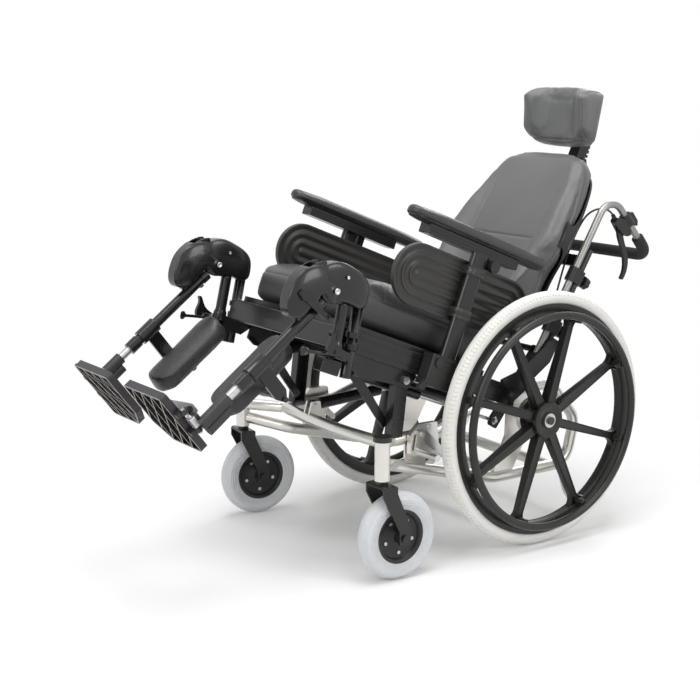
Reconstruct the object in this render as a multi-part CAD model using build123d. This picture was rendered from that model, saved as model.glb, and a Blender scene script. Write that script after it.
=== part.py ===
from build123d import *
import math
import os

# Tilt in space wheelchair, in millimetres.  +X is the occupant's left, -Y the way the
# chair faces, +Z up.  The origin lies on the floor, under the middle of the chair.
os.makedirs("parts", exist_ok=True)

# ---------------------------------------------------------------- overall layout
AXLE_Y = 258.4             # rear axle behind the origin
TRACK_HALF = 294.0         # mid plane of each rear wheel
FRAME_HALF = 200.0         # centre line of each side frame
TILT = 21.5                # seat tilt at rest, from level
RECLINE = 9.5              # back recline at rest, from square to the seat
LEG_RAISE = 30.5           # leg rest at rest, from square to the seat
PIVOT_Y = -358.0           # tilt pivot ahead of the rear axle
PIVOT_Z = 428.0            # tilt pivot above the floor
FIT = 0.3                  # gap between neighbouring pieces that don't seat
RUN = 0.05                 # radial clearance of a running fit

# ---------------------------------------------------------------- rear wheels
WHEEL_R = 305.0
TYRE_SECTION_R = 17.5
RIM_HALF_WIDTH = 17.0
RIM_OUTER_R = 277.0
RIM_INNER_R = 250.0
SPOKE_COUNT = 8
SPOKE_ROOT_W = 24.0
SPOKE_TIP_W = 17.0
SPOKE_ROOT_H = 30.0
SPOKE_TIP_H = 20.0
HUB_R = 36.0
HUB_INNER = 30.0           # hub length inboard of the wheel's mid plane
HUB_CAP_R = 43.0
HUB_CAP_T = 8.0
HUB_FACE = 21.0            # outer face of the hub cap, outboard of the mid plane
AXLE_R = 6.35
AXLE_FLANGE_R = 17.0
AXLE_BUTTON_R = 9.5
HANDRIM_R = 252.5
HANDRIM_TUBE_R = 9.5
HANDRIM_OFFSET = 41.0      # handrim plane outboard of the wheel's mid plane
TAB_W = 18.0
DRUM_R = 46.0
DRUM_T = 13.0

# ---------------------------------------------------------------- casters
CASTER_X = 293.0
CASTER_Y = -473.0
CASTER_R = 100.0
CASTER_W = 48.0
CASTER_RIM_R = 61.0
CASTER_TRAIL = 40.6
CASTER_TURN = {1: -0.5, -1: -7.4}    # swivel at rest, left and right, degrees
HEAD_R = 17.0
HEAD_BOTTOM = 232.0
HEAD_TOP = 320.0
HEAD_CAP_R = 21.0
HEAD_CAP_T = 11.0
FORK_GAP = 58.0
FORK_T = 5.0
FORK_W = 38.0
STEM_R = 6.0
CASTER_AXLE_R = 5.0

# ---------------------------------------------------------------- base frame
TUBE_R = 14.0
LOWER_TUBE_Z = 150.0
UPPER_TUBE_Z = 286.0
ARCH_TUBE_Z = 360.0
LOOP_Y = 191.0             # rearmost line of the side loops
FRONT_BOW_Y = -411.0
FRONT_BOW = 6.75
BEND_R = 48.0
GUSSET_T = 5.0
PLATE_T = 8.0
SLEEVE_R = 17.0
REAR_TUBE_R = 12.5

# ---------------------------------------------------------------- tilt posts
POST_X = 206.0
POST_W = 24.0
POST_FOOT_Y = -374.0
TILT_BOLT_R = 6.0
BOLT_HEAD_R = 9.0

# ---------------------------------------------------------------- seat (u back, v up)
RAIL_IN = 215.0
RAIL_OUT = 229.0
RAIL_BOTTOM = 20.0
RAIL_TOP = 68.0
RAIL_FRONT = -215.0
RAIL_REAR = 335.0
BOARD_T = 12.0
BOARD_HALF = 222.0
CUSHION_HALF = 208.0
CUSHION_FRONT = -205.0
CUSHION_REAR = 235.0
CUSHION_TOP = 188.0
CUSHION_CORNER_R = 60.0
REAR_BEAM_V = 47.0         # lower face of the rear beam
STRUT_X = -80.0
STRUT_U = 246.0
STRUT_V = -3.0
BACK_U = 345.0
BACK_V = 95.0

# ---------------------------------------------------------------- back (t back, w up)
CANE_X = 200.0
CANE_R = 9.0
CANE_T = 46.3
PUSH_T = 27.7
CANE_BOTTOM = 75.0
CANE_TOP = 366.0
PUSH_TOP = 520.0
GRIP_T = 238.0
GRIP_W = 450.0
GRIP_R = 15.0
PUSH_BEND_R = 38.0
BACK_HALF = 204.0
BACK_TOP = 577.0
BACK_BOTTOM = 98.0
SHELL_REAR_T = 12.0

# ---------------------------------------------------------------- armrests
ARM_X = 253.0
ARM_POST_U = 70.0
ARM_POST_L = 44.0
ARM_POST_W = 24.0
ARM_POST_TOP = 322.0
ARM_POST_BOTTOM = 6.0
SOCKET_BOTTOM = 4.0
SOCKET_TOP = 77.0
PANEL_X = 233.0
PANEL_T = 8.0
PANEL_U0 = -140.0
PANEL_U1 = 275.0
PANEL_V0 = 160.0
PANEL_V1 = 300.0
PAD_X = 234.0
PAD_W = 54.0
PAD_U0 = -142.0
PAD_U1 = 283.0
PAD_V = 345.0
PAD_T = 24.0

# ---------------------------------------------------------------- leg rests
HANGER_X = 244.0
HANGER_LEAN = 9.0
HANGER_U = -187.0
HANGER_TUBE_R = 12.5
HANGER_PITCH = 40.0
HANGER_FOOT = -38.0
LATCH_X = 270.0            # latch bar and lever, outboard of the leg tube
LATCH_Y = -68.0
LATCH_Z = 18.0
LATCH_KNOB_R = 10.0
LATCH_T = 9.0
KNEE_U = -291.0
KNEE_V = 129.0
KNEE_HALF = 26.0
KNEE_WALL = 3.0
KNEE_R = 62.0              # clear radius between the front knee's cheeks
KNEE_DISC_R = 28.0
KNEE_ROUND = 7.0
LEG_OFF = 6.0              # leg tube behind the knee bolt
LEG_TUBE_R = 12.5
LEG_BORE_R = 9.6
LEG_TOP = 30.0
LEG_BOTTOM = 262.0
FOOT_TUBE_R = 9.5
FOOT_A = 405.0             # top face of the footplate, down the leg
FOOT_PLATE_T = 18.0
FOOT_RIB = 2.6
FOOT_RIBS = 4
FOOT_RIB_TURN = 38.0
FOOT_RIM = 4.0
FOOT_DECK = 4.0
FOOT_EARS = (28.0, -24.0)
FOOT_EAR_DROP = 1.0        # the hinge ears lie this far below the top face
FOOT_X0 = 40.0
FOOT_X1 = 204.0
FOOT_B0 = -76.0
FOOT_B1 = 82.0
FOOT_HINGE_X = 220.5
FOOT_HINGE_A = 403.0
CALF_X0 = 88.0
CALF_X1 = 198.0
CALF_A0 = 106.0
CALF_A1 = 330.0
CALF_B0 = -90.0
CALF_B1 = -45.0
CALF_BOLT_A = 226.0
CALF_BOLT_B = -105.0

TILT_FOOT_Y = -403.0       # lower pin of the tilt cylinder
TILT_FOOT_Z = 318.0
TILT_EYE_W = 14.0
TILT_CYL_R = 14.0
TILT_CYL_L = 178.0
TILT_ROD_R = 6.0
TILT_PLAY = 1.8            # radial play of the rod eye on the seat tube
RECLINE_X = 162.0
RECLINE_FOOT_U = -118.0
RECLINE_FOOT_V = -22.0
RECLINE_CYL_R = 11.0
RECLINE_CYL_L = 200.0
RECLINE_ROD_R = 5.0
RECLINE_PLAY = 5.0         # radial play of the rod pin in the back lug
LOCK_X = 228.0
LOCK_Y = -318.0
LOCK_Z = 300.0
LOCK_SHOE_Y = -330.0
LOCK_SHOE_Z = 262.0
STRUT_TUBE_R = 12.5
HINGE_X = 217.0            # back hinge plates, inner face
HINGE_T = 6.5
HINGE_BOLT_R = 6.0
LUG_X = 168.3              # recline lug of the back, inner face
LUG_T = 6.0
STRAP_W = (196.0, 318.0)   # lower edges of the two back straps
SPACER_X = 110.0
CLAMP_W = (153.0, 290.0)
CLAMP_HALF = 18.0
KNOB_R = 15.0
KNOB_FLUTES = 6
GRIP_START = 158.0         # foam starts this far along the sloping arm
CABLE_R = 2.5
HOUSING_REACH = 96.0       # lever housing along the sloping arm of the push bar
BARREL_END = 44.0
HOUSING_DROP = 20.0        # cable axis below the bar's lower side
LEVER_PIVOT = 0.0
CABLE_T = 25.0             # cable run between the shell and the straps
HEAD_BAR_W = 20.0
HEAD_BAR_T0 = 50.0
HEAD_BAR_D = 10.0
HEAD_W = 675.0             # headrest pivot height up the back
HEAD_T = 8.0               # headrest ball behind the cushion's front datum
HEAD_HALF = 122.0
HEAD_RISE = 80.0
HEAD_CORNER = 42.0
HEAD_BALL_R = 10.0
PANEL_RIB = 3.0
KNEE_BOLT_R = 6.0
LEVER_A = 51.0             # elevating lever pivot on the front knee shell
LEVER_B = -26.0

BASE = Pos(0, AXLE_Y, 0)
SEAT = BASE * Pos(0, PIVOT_Y, PIVOT_Z) * Rot(-TILT, 0, 0)
BACK = SEAT * Pos(0, BACK_U, BACK_V) * Rot(-RECLINE, 0, 0)
HANGER = SEAT * Pos(0, HANGER_U, 0) * Rot(HANGER_LEAN, 0, 0)
LEG = SEAT * Pos(0, KNEE_U, KNEE_V) * Rot(-LEG_RAISE, 0, 0)


# ---------------------------------------------------------------- shared shapes
SIDE = Plane(origin=(0, 0, 0), x_dir=(0, 1, 0), z_dir=(1, 0, 0))
FRONT = Plane(origin=(0, 0, 0), x_dir=(1, 0, 0), z_dir=(0, -1, 0))


def save(name, shape):
    export_step(shape, f"parts/{name}.step")


def save_sides(name, left):
    save(name + "_left", left)
    save(name + "_right", mirror(left, about=Plane.YZ))


def group(*shapes):
    solids = []
    for shape in shapes:
        solids += shape.solids()
    return Compound(solids)


def pair(*shapes):
    left = group(*shapes)
    return group(left, mirror(left, about=Plane.YZ))


def rod(start, end, r, bore=0):
    start = Vector(*start)
    axis = Vector(*end) - start
    ring = Circle(r)
    if bore:
        ring -= Circle(bore)
    return extrude(Plane(origin=start, z_dir=axis) * ring, amount=axis.length)


def pin(y, z, x0, x1, r, bore=0):
    return rod((x0, y, z), (x1, y, z), r, bore)


def pipe(points, radii, r):
    path = FilletPolyline(*points, radius=radii)
    start = Plane(origin=path @ 0, z_dir=path % 0)
    return sweep(start * Circle(r), path=path)


def plate(points, x0, x1, corner=0):
    face = make_face(Polyline(*points, close=True))
    if corner:
        face = fillet(face.vertices(), corner)
    return extrude(SIDE.offset(x0) * face, amount=x1 - x0)


def block(x0, x1, y0, y1, z0, z1, corner=0):
    size = (x1 - x0, y1 - y0, z1 - z0)
    centre = Pos((x0 + x1) / 2, (y0 + y1) / 2, (z0 + z1) / 2)
    body = Box(*size)
    if corner:
        body = fillet(body.edges(), corner)
    return centre * body


def lathe(points):
    return revolve(Plane.XZ * make_face(Polyline(*points, close=True)), Axis.Z)


def wheel_place(x, y, z):
    return BASE * Pos(x, y, z) * Rot(0, 90, 0)


# ---------------------------------------------------------------- rear wheels
def tyre_ring():
    centre_r = WHEEL_R - TYRE_SECTION_R
    bed = RIM_OUTER_R - 3.5
    section = Pos(centre_r, 0) * Circle(TYRE_SECTION_R)
    section &= Pos(bed + TYRE_SECTION_R, 0) * Rectangle(2 * TYRE_SECTION_R, 2.2 * TYRE_SECTION_R)
    return revolve(Plane.XZ * section, Axis.Z)


def rear_tyre():
    return wheel_place(TRACK_HALF, 0, WHEEL_R) * tyre_ring()


def handrim_ring():
    ring = Pos(HANDRIM_R, HANDRIM_OFFSET) * Circle(HANDRIM_TUBE_R)
    return revolve(Plane.XZ * ring, Axis.Z)


def mag_wheel():
    bed = RIM_OUTER_R - 3.6
    rim = lathe([
        (RIM_INNER_R, -12), (RIM_INNER_R + 9, -RIM_HALF_WIDTH), (RIM_OUTER_R, -RIM_HALF_WIDTH),
        (RIM_OUTER_R, -14.7), (bed, -11.7), (bed, 11.7), (RIM_OUTER_R, 14.7),
        (RIM_OUTER_R, RIM_HALF_WIDTH), (RIM_INNER_R + 9, RIM_HALF_WIDTH), (RIM_INNER_R, 12),
    ])
    hub = Pos(0, 0, -HUB_INNER) * extrude(Circle(HUB_R), amount=HUB_INNER + HUB_FACE - HUB_CAP_T)
    cap = Pos(0, 0, HUB_FACE - HUB_CAP_T) * extrude(Circle(HUB_CAP_R), amount=HUB_CAP_T)
    root = Plane(origin=(HUB_R - 4, 0, 0), x_dir=(0, 1, 0), z_dir=(1, 0, 0))
    tip = Plane(origin=(RIM_INNER_R + 2, 0, 0), x_dir=(0, 1, 0), z_dir=(1, 0, 0))
    spoke = loft([
        root * RectangleRounded(SPOKE_ROOT_W, SPOKE_ROOT_H, 5),
        tip * RectangleRounded(SPOKE_TIP_W, SPOKE_TIP_H, 5),
    ])
    tab_top = HANDRIM_OFFSET - 4
    tab = block(HANDRIM_R - 4, HANDRIM_R + 4, -TAB_W / 2, TAB_W / 2, 10, tab_top)
    arm = spoke + (tab - handrim_ring())
    wheel = rim + hub + cap
    for turn in range(SPOKE_COUNT):
        wheel += Rot(0, 0, turn * 360 / SPOKE_COUNT) * arm
    return wheel - Pos(0, 0, -HUB_INNER) * extrude(Circle(AXLE_R + RUN), amount=2 * HUB_INNER)


def rear_wheel():
    return wheel_place(TRACK_HALF, 0, WHEEL_R) * group(mag_wheel(), handrim_ring())


# ---------------------------------------------------------------- casters
def caster_side(side, shape):
    return BASE * Pos(side * CASTER_X, CASTER_Y, 0) * Rot(0, 0, CASTER_TURN[side]) * shape


def caster_fork_shape():
    top = HEAD_BOTTOM - 8
    crown = FORK_GAP / 2 + FORK_T
    axle = (CASTER_TRAIL, CASTER_R)
    leg = plate([
        (-FORK_W / 2, top), (-FORK_W / 2, top - 22),
        (axle[0] - 16, axle[1] + 18), (axle[0] - 15, axle[1] - 16),
        (axle[0] + 15, axle[1] - 16), (axle[0] + 16, axle[1] + 22), (FORK_W / 2, top - 18), (FORK_W / 2, top),
    ], -crown, crown, 6)
    inside = block(-FORK_GAP / 2, FORK_GAP / 2, -90, 90, 0, top - FORK_T)
    washer = rod((0, 0, top - 1), (0, 0, HEAD_BOTTOM - FIT), 14)
    stem = rod((0, 0, top - 1), (0, 0, HEAD_TOP - 6), STEM_R)
    bolt = pin(axle[0], axle[1], -crown - 5, crown + 5, CASTER_AXLE_R)
    nut = pin(axle[0], axle[1], crown - 1, crown + 5, 9)
    return leg - inside + washer + stem + bolt + nut + mirror(nut, about=Plane.YZ)


def caster_wheel_shape():
    half = CASTER_W / 2
    shoulder = CASTER_R - 16
    with BuildLine() as line:
        Line((CASTER_RIM_R, -half + 7), (shoulder, -half))
        ThreePointArc((shoulder, -half), (CASTER_R, 0), (shoulder, half))
        Line((shoulder, half), (CASTER_RIM_R, half - 7))
        Line((CASTER_RIM_R, half - 7), (CASTER_RIM_R, -half + 7))
    tyre = revolve(Plane.XZ * make_face(line.line), Axis.Z)
    hub_half = FORK_GAP / 2 - FIT
    r = CASTER_AXLE_R + RUN
    rim = lathe([
        (r, -hub_half), (13, -hub_half), (16, -9), (CASTER_RIM_R - 9, -7), (CASTER_RIM_R - 6, -half + 7),
        (CASTER_RIM_R, -half + 7), (CASTER_RIM_R, half - 7), (CASTER_RIM_R - 6, half - 7),
        (CASTER_RIM_R - 9, 7), (16, 9), (13, hub_half), (r, hub_half),
    ])
    return Pos(0, CASTER_TRAIL, CASTER_R) * Rot(0, 90, 0) * group(rim, tyre)


# ---------------------------------------------------------------- base frame
def loop_tube(r):
    head_in = CASTER_X - HEAD_R + 6
    return pipe([
        (head_in, CASTER_Y + 7, 254), (FRAME_HALF, -388, 232), (FRAME_HALF, -70, LOWER_TUBE_Z),
        (FRAME_HALF, 170, LOWER_TUBE_Z), (FRAME_HALF, LOOP_Y + 5, 262), (FRAME_HALF, 108, ARCH_TUBE_Z),
        (FRAME_HALF, -52, ARCH_TUBE_Z), (FRAME_HALF, -258, 292), (FRAME_HALF, -398, UPPER_TUBE_Z),
        (head_in, CASTER_Y + 7, 288),
    ], [60, 90, 55, 50, 60, 90, 90, BEND_R], r)


def head_tube():
    top = HEAD_TOP + HEAD_CAP_T
    head = rod((CASTER_X, CASTER_Y, HEAD_BOTTOM), (CASTER_X, CASTER_Y, HEAD_TOP), HEAD_R)
    cap = rod((CASTER_X, CASTER_Y, HEAD_TOP), (CASTER_X, CASTER_Y, top), HEAD_CAP_R)
    return head + cap


def head_bore():
    return rod((CASTER_X, CASTER_Y, HEAD_BOTTOM - 1), (CASTER_X, CASTER_Y, HEAD_TOP - 5), STEM_R + RUN)


def side_frame():
    gusset = plate([(-345, 280), (-345, 216), (-284, 202), (-284, 286)],
                   FRAME_HALF + 3, FRAME_HALF + 3 + GUSSET_T)
    web = plate([(-30, 354), (70, 354), (62, 290), (-14, 156), (-74, 158), (-34, 250)],
                FRAME_HALF - PLATE_T / 2, FRAME_HALF + PLATE_T / 2, 8)
    sleeve = pin(0, WHEEL_R, FRAME_HALF - 12, TRACK_HALF - HUB_INNER - DRUM_T - 2, SLEEVE_R)
    axle_bore = pin(0, WHEEL_R, 0, TRACK_HALF, AXLE_R)
    frame = loop_tube(TUBE_R) + head_tube() + gusset + web + sleeve
    return BASE * (frame - axle_bore - head_bore())


def cross_members():
    front = FRONT_BOW_Y + FRONT_BOW
    path = ThreePointArc((-FRAME_HALF, front, UPPER_TUBE_Z), (0, FRONT_BOW_Y - FRONT_BOW, UPPER_TUBE_Z),
                         (FRAME_HALF, front, UPPER_TUBE_Z))
    bow = sweep(Plane(origin=path @ 0, z_dir=path % 0) * Circle(TUBE_R), path=path)
    rear = rod((-FRAME_HALF, 120, LOWER_TUBE_Z), (FRAME_HALF, 120, LOWER_TUBE_Z), TUBE_R)
    middle = rod((-FRAME_HALF, -30, LOWER_TUBE_Z), (FRAME_HALF, -30, LOWER_TUBE_Z), REAR_TUBE_R)
    lug = plate([(-425, 292), (-385, 292), (TILT_FOOT_Y + 12, TILT_FOOT_Z + 10),
                 (TILT_FOOT_Y - 12, TILT_FOOT_Z + 10)], 0, 5, 4)
    lug_gap = TILT_EYE_W / 2 + FIT
    lugs = Pos(STRUT_X + lug_gap, 0, 0) * lug + Pos(STRUT_X - lug_gap - 5, 0, 0) * lug
    clevis_pin = pin(TILT_FOOT_Y, TILT_FOOT_Z, STRUT_X - lug_gap - 9, STRUT_X + lug_gap + 9, 5)
    web = bow + lugs + clevis_pin + rear + middle
    sides = loop_tube(TUBE_R)
    return BASE * (web - sides - mirror(sides, about=Plane.YZ))


def tilt_posts():
    face = POST_X + 6
    width = 17
    foot = UPPER_TUBE_Z + 5
    outline = [(PIVOT_Y - width, PIVOT_Z), (POST_FOOT_Y - width, foot), (POST_FOOT_Y + width, foot),
               (PIVOT_Y + width, PIVOT_Z)]
    post = plate(outline, face - POST_W, face) + pin(PIVOT_Y, PIVOT_Z, face - POST_W, face, width)
    hollow = plate([(PIVOT_Y - width + 3, PIVOT_Z), (POST_FOOT_Y - width + 3, UPPER_TUBE_Z),
                    (POST_FOOT_Y + width - 3, UPPER_TUBE_Z), (PIVOT_Y + width - 3, PIVOT_Z)],
                   face - POST_W - 1, face - 4)
    bolt_hole = pin(PIVOT_Y, PIVOT_Z, face - POST_W - 1, face + 1, TILT_BOLT_R + RUN)
    boss = pin(PIVOT_Y, PIVOT_Z, face - POST_W, face - 3, 12)
    post = post - hollow + boss - bolt_hole - loop_tube(TUBE_R)
    return pair(BASE * post)


def axle_sets():
    hub_in = TRACK_HALF - HUB_INNER
    face = TRACK_HALF + HUB_FACE
    axle = pin(0, WHEEL_R, FRAME_HALF - 20, face + FIT + 1, AXLE_R)
    flange = pin(0, WHEEL_R, face + FIT, face + FIT + 3, AXLE_FLANGE_R)
    button = pin(0, WHEEL_R, face + FIT + 3, face + FIT + 8, AXLE_BUTTON_R)
    inner_nut = pin(0, WHEEL_R, FRAME_HALF - 20, FRAME_HALF - 12, 13)
    drum = pin(0, WHEEL_R, hub_in - FIT - DRUM_T, hub_in - FIT, DRUM_R, AXLE_R)
    return pair(BASE * (axle + flange + button + inner_nut + drum))


def wheel_lock_plates():
    base = plate([(-345, 250), (-345, 300), (-322, 322), (-268, 322), (-262, 268), (-284, 246)],
                 FRAME_HALF + TUBE_R + 1, LOCK_X - FIT, 6)
    pads = plate([(-338, 240), (-338, 268), (-292, 268), (-292, 240)], FRAME_HALF + 3 + GUSSET_T,
                 FRAME_HALF + TUBE_R + 2)
    bolts = base + pads
    for y, z in [(-335, 306), (-290, 312), (-336, 258), (-278, 264)]:
        bolts += pin(y, z, LOCK_X - 1, LOCK_X + 3, 5.5)
    pivot = pin(LOCK_Y, LOCK_Z, LOCK_X - 1, LOCK_X + 12, 5)
    return pair(BASE * (bolts + pivot))


def wheel_lock_lever():
    x0 = LOCK_X + 3 + FIT
    arm = plate([(LOCK_Y - 12, LOCK_Z + 8), (LOCK_SHOE_Y - 8, LOCK_SHOE_Z + 4),
                 (LOCK_SHOE_Y - 8, LOCK_SHOE_Z - 9), (LOCK_SHOE_Y + 8, LOCK_SHOE_Z - 9),
                 (LOCK_Y + 2, LOCK_Z - 12), (-240, 226), (-232, 238),
                 (LOCK_Y + 12, LOCK_Z + 8)], x0, x0 + 5, 4)
    shoe = pin(LOCK_SHOE_Y, LOCK_SHOE_Z, x0 + 4, TRACK_HALF + 14, 8)
    handle = rod((x0 + 2, -238, 233), (x0 + 30, -238, 228), 6)
    return BASE * (arm + shoe + handle - pin(LOCK_Y, LOCK_Z, x0 - 1, x0 + 9, 5 + RUN))


def anti_tippers():
    tube = pipe([(FRAME_HALF, 150, 150), (FRAME_HALF, 176, 76), (FRAME_HALF, 214, 28)], [60], 9)
    tip = rod((FRAME_HALF, 208, 35.6), (FRAME_HALF, 222, 18), 11.5)
    return pair(BASE * (tube + tip - loop_tube(TUBE_R)))


# ---------------------------------------------------------------- seat frame
def seat_rails():
    mid = (RAIL_IN + RAIL_OUT) / 2
    section = RectangleRounded(RAIL_OUT - RAIL_IN, RAIL_TOP - RAIL_BOTTOM, 3)
    section = Pos(mid, (RAIL_BOTTOM + RAIL_TOP) / 2) * section
    section -= Pos(RAIL_OUT, 55) * Rectangle(3, 5)
    section -= Pos(RAIL_OUT, 33) * Rectangle(3, 5)
    rail = extrude(Plane(origin=(0, RAIL_REAR, 0), x_dir=(1, 0, 0), z_dir=(0, -1, 0)) * section,
                   amount=RAIL_REAR - RAIL_FRONT)
    ear = plate([(RAIL_REAR - 60, RAIL_TOP), (RAIL_REAR, RAIL_TOP - 30), (BACK_U + 20, BACK_V - 18),
                 (BACK_U + 20, BACK_V + 16), (BACK_U - 20, BACK_V + 16), (RAIL_REAR - 60, RAIL_TOP + 6)],
                RAIL_OUT - 5, RAIL_OUT, 5)
    bolt = pin(BACK_U, BACK_V, HINGE_X - 1, RAIL_OUT + 4, HINGE_BOLT_R)
    head = pin(BACK_U, BACK_V, RAIL_OUT, RAIL_OUT + 5, BOLT_HEAD_R)
    return pair(SEAT * (rail + ear + bolt + head))


def seat_pan():
    board = block(-BOARD_HALF, BOARD_HALF, -200, 230, RAIL_TOP, RAIL_TOP + BOARD_T)
    board = fillet(board.edges().filter_by(Axis.Z), 20)
    front = block(-RAIL_IN, RAIL_IN, -227, -203, 16, 65, 4)
    rear = block(-RAIL_IN, RAIL_IN, STRUT_U - 12, STRUT_U + 12, REAR_BEAM_V, 66, 3)
    hanger = plate([(STRUT_U - 20, REAR_BEAM_V + 6), (STRUT_U - 14, STRUT_V - 14),
                    (STRUT_U + 14, STRUT_V - 14), (STRUT_U + 20, REAR_BEAM_V + 6)], 140, 146, 8)
    tube = pin(STRUT_U, STRUT_V, -148, 148, STRUT_TUBE_R)
    return SEAT * (board + front + rear + hanger + mirror(hanger, about=Plane.YZ) + tube)


def cushion_solid():
    low = RAIL_TOP + BOARD_T + FIT
    top = CUSHION_TOP
    front = CUSHION_FRONT
    rear = CUSHION_REAR
    with BuildLine() as profile:
        Line((rear - 8, low), (front + 12, low))
        ThreePointArc((front + 12, low), (front, 120), (front + 20, 158))
        ThreePointArc((front + 20, 158), (front + 46, 176), (front + 84, top - 3))
        ThreePointArc((front + 84, top - 3), (20, top + 6), (rear - 30, top - 3))
        ThreePointArc((rear - 30, top - 3), (rear - 6, top - 20), (rear, top - 44))
        ThreePointArc((rear, top - 44), (rear + 1, 118), (rear - 8, low))
    long_way = extrude(SIDE.offset(-CUSHION_HALF - 5) * make_face(profile.line), amount=2 * CUSHION_HALF + 10)
    half = CUSHION_HALF
    with BuildLine() as across:
        Line((8 - half, low - 1), (half - 8, low - 1))
        ThreePointArc((half - 8, low - 1), (half, 120), (half - 5, 158))
        ThreePointArc((half - 5, 158), (half - 14, 178), (half - 36, top - 1))
        ThreePointArc((half - 36, top - 1), (0, top + 12), (36 - half, top - 1))
        ThreePointArc((36 - half, top - 1), (14 - half, 178), (5 - half, 158))
        ThreePointArc((5 - half, 158), (-half, 120), (8 - half, low - 1))
    cross = extrude(FRONT.offset(-rear - 10) * make_face(across.line), amount=rear - front + 20)
    plan = Pos(0, (front + rear) / 2, low - 3) * extrude(
        RectangleRounded(2 * half + 2, rear - front + 4, CUSHION_CORNER_R), amount=200)
    return (long_way & cross) & plan


def seat_cushion():
    return SEAT * cushion_solid()


def arm_section(grow):
    length = ARM_POST_L + 2 * grow
    width = ARM_POST_W + 2 * grow
    return Pos(ARM_X, ARM_POST_U) * SlotOverall(length, width, 90)


def arm_sockets():
    outer_x = ARM_X + ARM_POST_W / 2 + 4
    body = block(RAIL_OUT, outer_x, 20, 105, SOCKET_BOTTOM, SOCKET_TOP)
    body = fillet(body.edges().filter_by(Axis.Z), 6)
    for v in (SOCKET_BOTTOM + 7, SOCKET_TOP - 9):
        band = block(RAIL_OUT, outer_x + 2, 18, 107, v, v + 6)
        body += fillet(band.edges().filter_by(Axis.Z), 6)
    well = Pos(0, 0, SOCKET_BOTTOM - 5) * extrude(arm_section(FIT), amount=SOCKET_TOP - SOCKET_BOTTOM + 10)
    bolt = pin(39, 60, outer_x - 2, outer_x + 4, 11)
    cam = plate([(2, -8), (22, -8), (34, 14), (34, 22), (22, 22)], outer_x - 12, outer_x - 2, 4)
    return pair(SEAT * (body - well + bolt + (cam - well)))


def hanger_brackets():
    plate_x = RAIL_IN
    pivot = plate([(-152, RAIL_BOTTOM), (-152, -14), (-128, -26), (-16, -16), (16, -16), (30, RAIL_BOTTOM)],
                  plate_x, plate_x + 6, 5)
    pivot -= pin(0, 0, plate_x - 1, plate_x + 7, TILT_BOLT_R)
    outer = plate([(-140, RAIL_BOTTOM), (-224, RAIL_BOTTOM), (-224, -12), (-170, -12)], 222, 228)
    rest = block(222, 252, -254, -204, -40, -8, 3)
    for v in (-32, -24, -16):
        rest -= block(250, 254, -260, -200, v, v + 3)
    axis_top = (HANGER_X, HANGER_U - 70 * math.tan(math.radians(HANGER_LEAN)), 70)
    axis_low = (HANGER_X, HANGER_U, 0)
    rings = Part()
    for level in (24, 50):
        tilt_off = math.tan(math.radians(HANGER_LEAN)) * level
        low = (HANGER_X, HANGER_U - tilt_off, level)
        high = (HANGER_X, HANGER_U - math.tan(math.radians(HANGER_LEAN)) * (level + 12), level + 12)
        rings += rod(low, high, HANGER_TUBE_R + 4)
        rings += block(RAIL_OUT, HANGER_X, low[1] - 14, low[1] + 16, level, level + 12)
    post = rod((axis_low[0], axis_low[1], axis_low[2]), axis_top, HANGER_TUBE_R + RUN)
    rail_space = block(RAIL_IN - 9, RAIL_OUT, RAIL_FRONT, 0, RAIL_BOTTOM, RAIL_TOP)
    return pair(SEAT * (pivot + outer + rest), SEAT * (rings - post - rail_space))


def seat_stays():
    stay = plate([(-140, -16), (-126, -28), (12, -118), (24, -104), (-116, -6)], 178, 184, 5)
    bolt = pin(RECLINE_FOOT_U, RECLINE_FOOT_V, RECLINE_X - 12, RAIL_IN, 5)
    return pair(SEAT * (stay + bolt))


def tilt_bolts():
    inner = POST_X + 6 - POST_W - 6
    shaft = pin(0, 0, inner, RAIL_IN + 8, TILT_BOLT_R)
    head = pin(0, 0, RAIL_IN + 6, RAIL_IN + 13, BOLT_HEAD_R)
    washer = pin(0, 0, POST_X + 6 + FIT, RAIL_IN, 12)
    nut = pin(0, 0, inner - 1, inner + 5.5, 10)
    return pair(SEAT * (shaft + head + washer + nut))


# ---------------------------------------------------------------- struts under the seat
def tilt_line():
    foot = Vector(STRUT_X, TILT_FOOT_Y, TILT_FOOT_Z)
    turn = math.radians(TILT)
    y = PIVOT_Y + STRUT_U * math.cos(turn) + STRUT_V * math.sin(turn)
    z = PIVOT_Z - STRUT_U * math.sin(turn) + STRUT_V * math.cos(turn)
    return foot, Vector(STRUT_X, y, z)


def tilt_cylinder():
    foot, top = tilt_line()
    way = (top - foot).normalized()
    body = rod(foot + way * 18, foot + way * (18 + TILT_CYL_L), TILT_CYL_R)
    neck = rod(foot, foot + way * 20, 7)
    eye = pin(foot.Y, foot.Z, STRUT_X - TILT_EYE_W / 2, STRUT_X + TILT_EYE_W / 2, 10)
    hole = pin(foot.Y, foot.Z, STRUT_X - 20, STRUT_X + 20, 5 + RUN)
    bore = rod(foot + way * 26, foot + way * (20 + TILT_CYL_L), TILT_ROD_R + RUN)
    return BASE * (body + neck + eye - hole - bore)


def tilt_rod():
    foot, top = tilt_line()
    way = (top - foot).normalized()
    shaft = rod(foot + way * 100, top - way * (STRUT_TUBE_R + TILT_PLAY), TILT_ROD_R)
    eye_r = STRUT_TUBE_R + TILT_PLAY
    eye = pin(top.Y, top.Z, STRUT_X - 8, STRUT_X + 8, eye_r + 5)
    return BASE * (shaft + eye - pin(top.Y, top.Z, STRUT_X - 20, STRUT_X + 20, eye_r))


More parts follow.
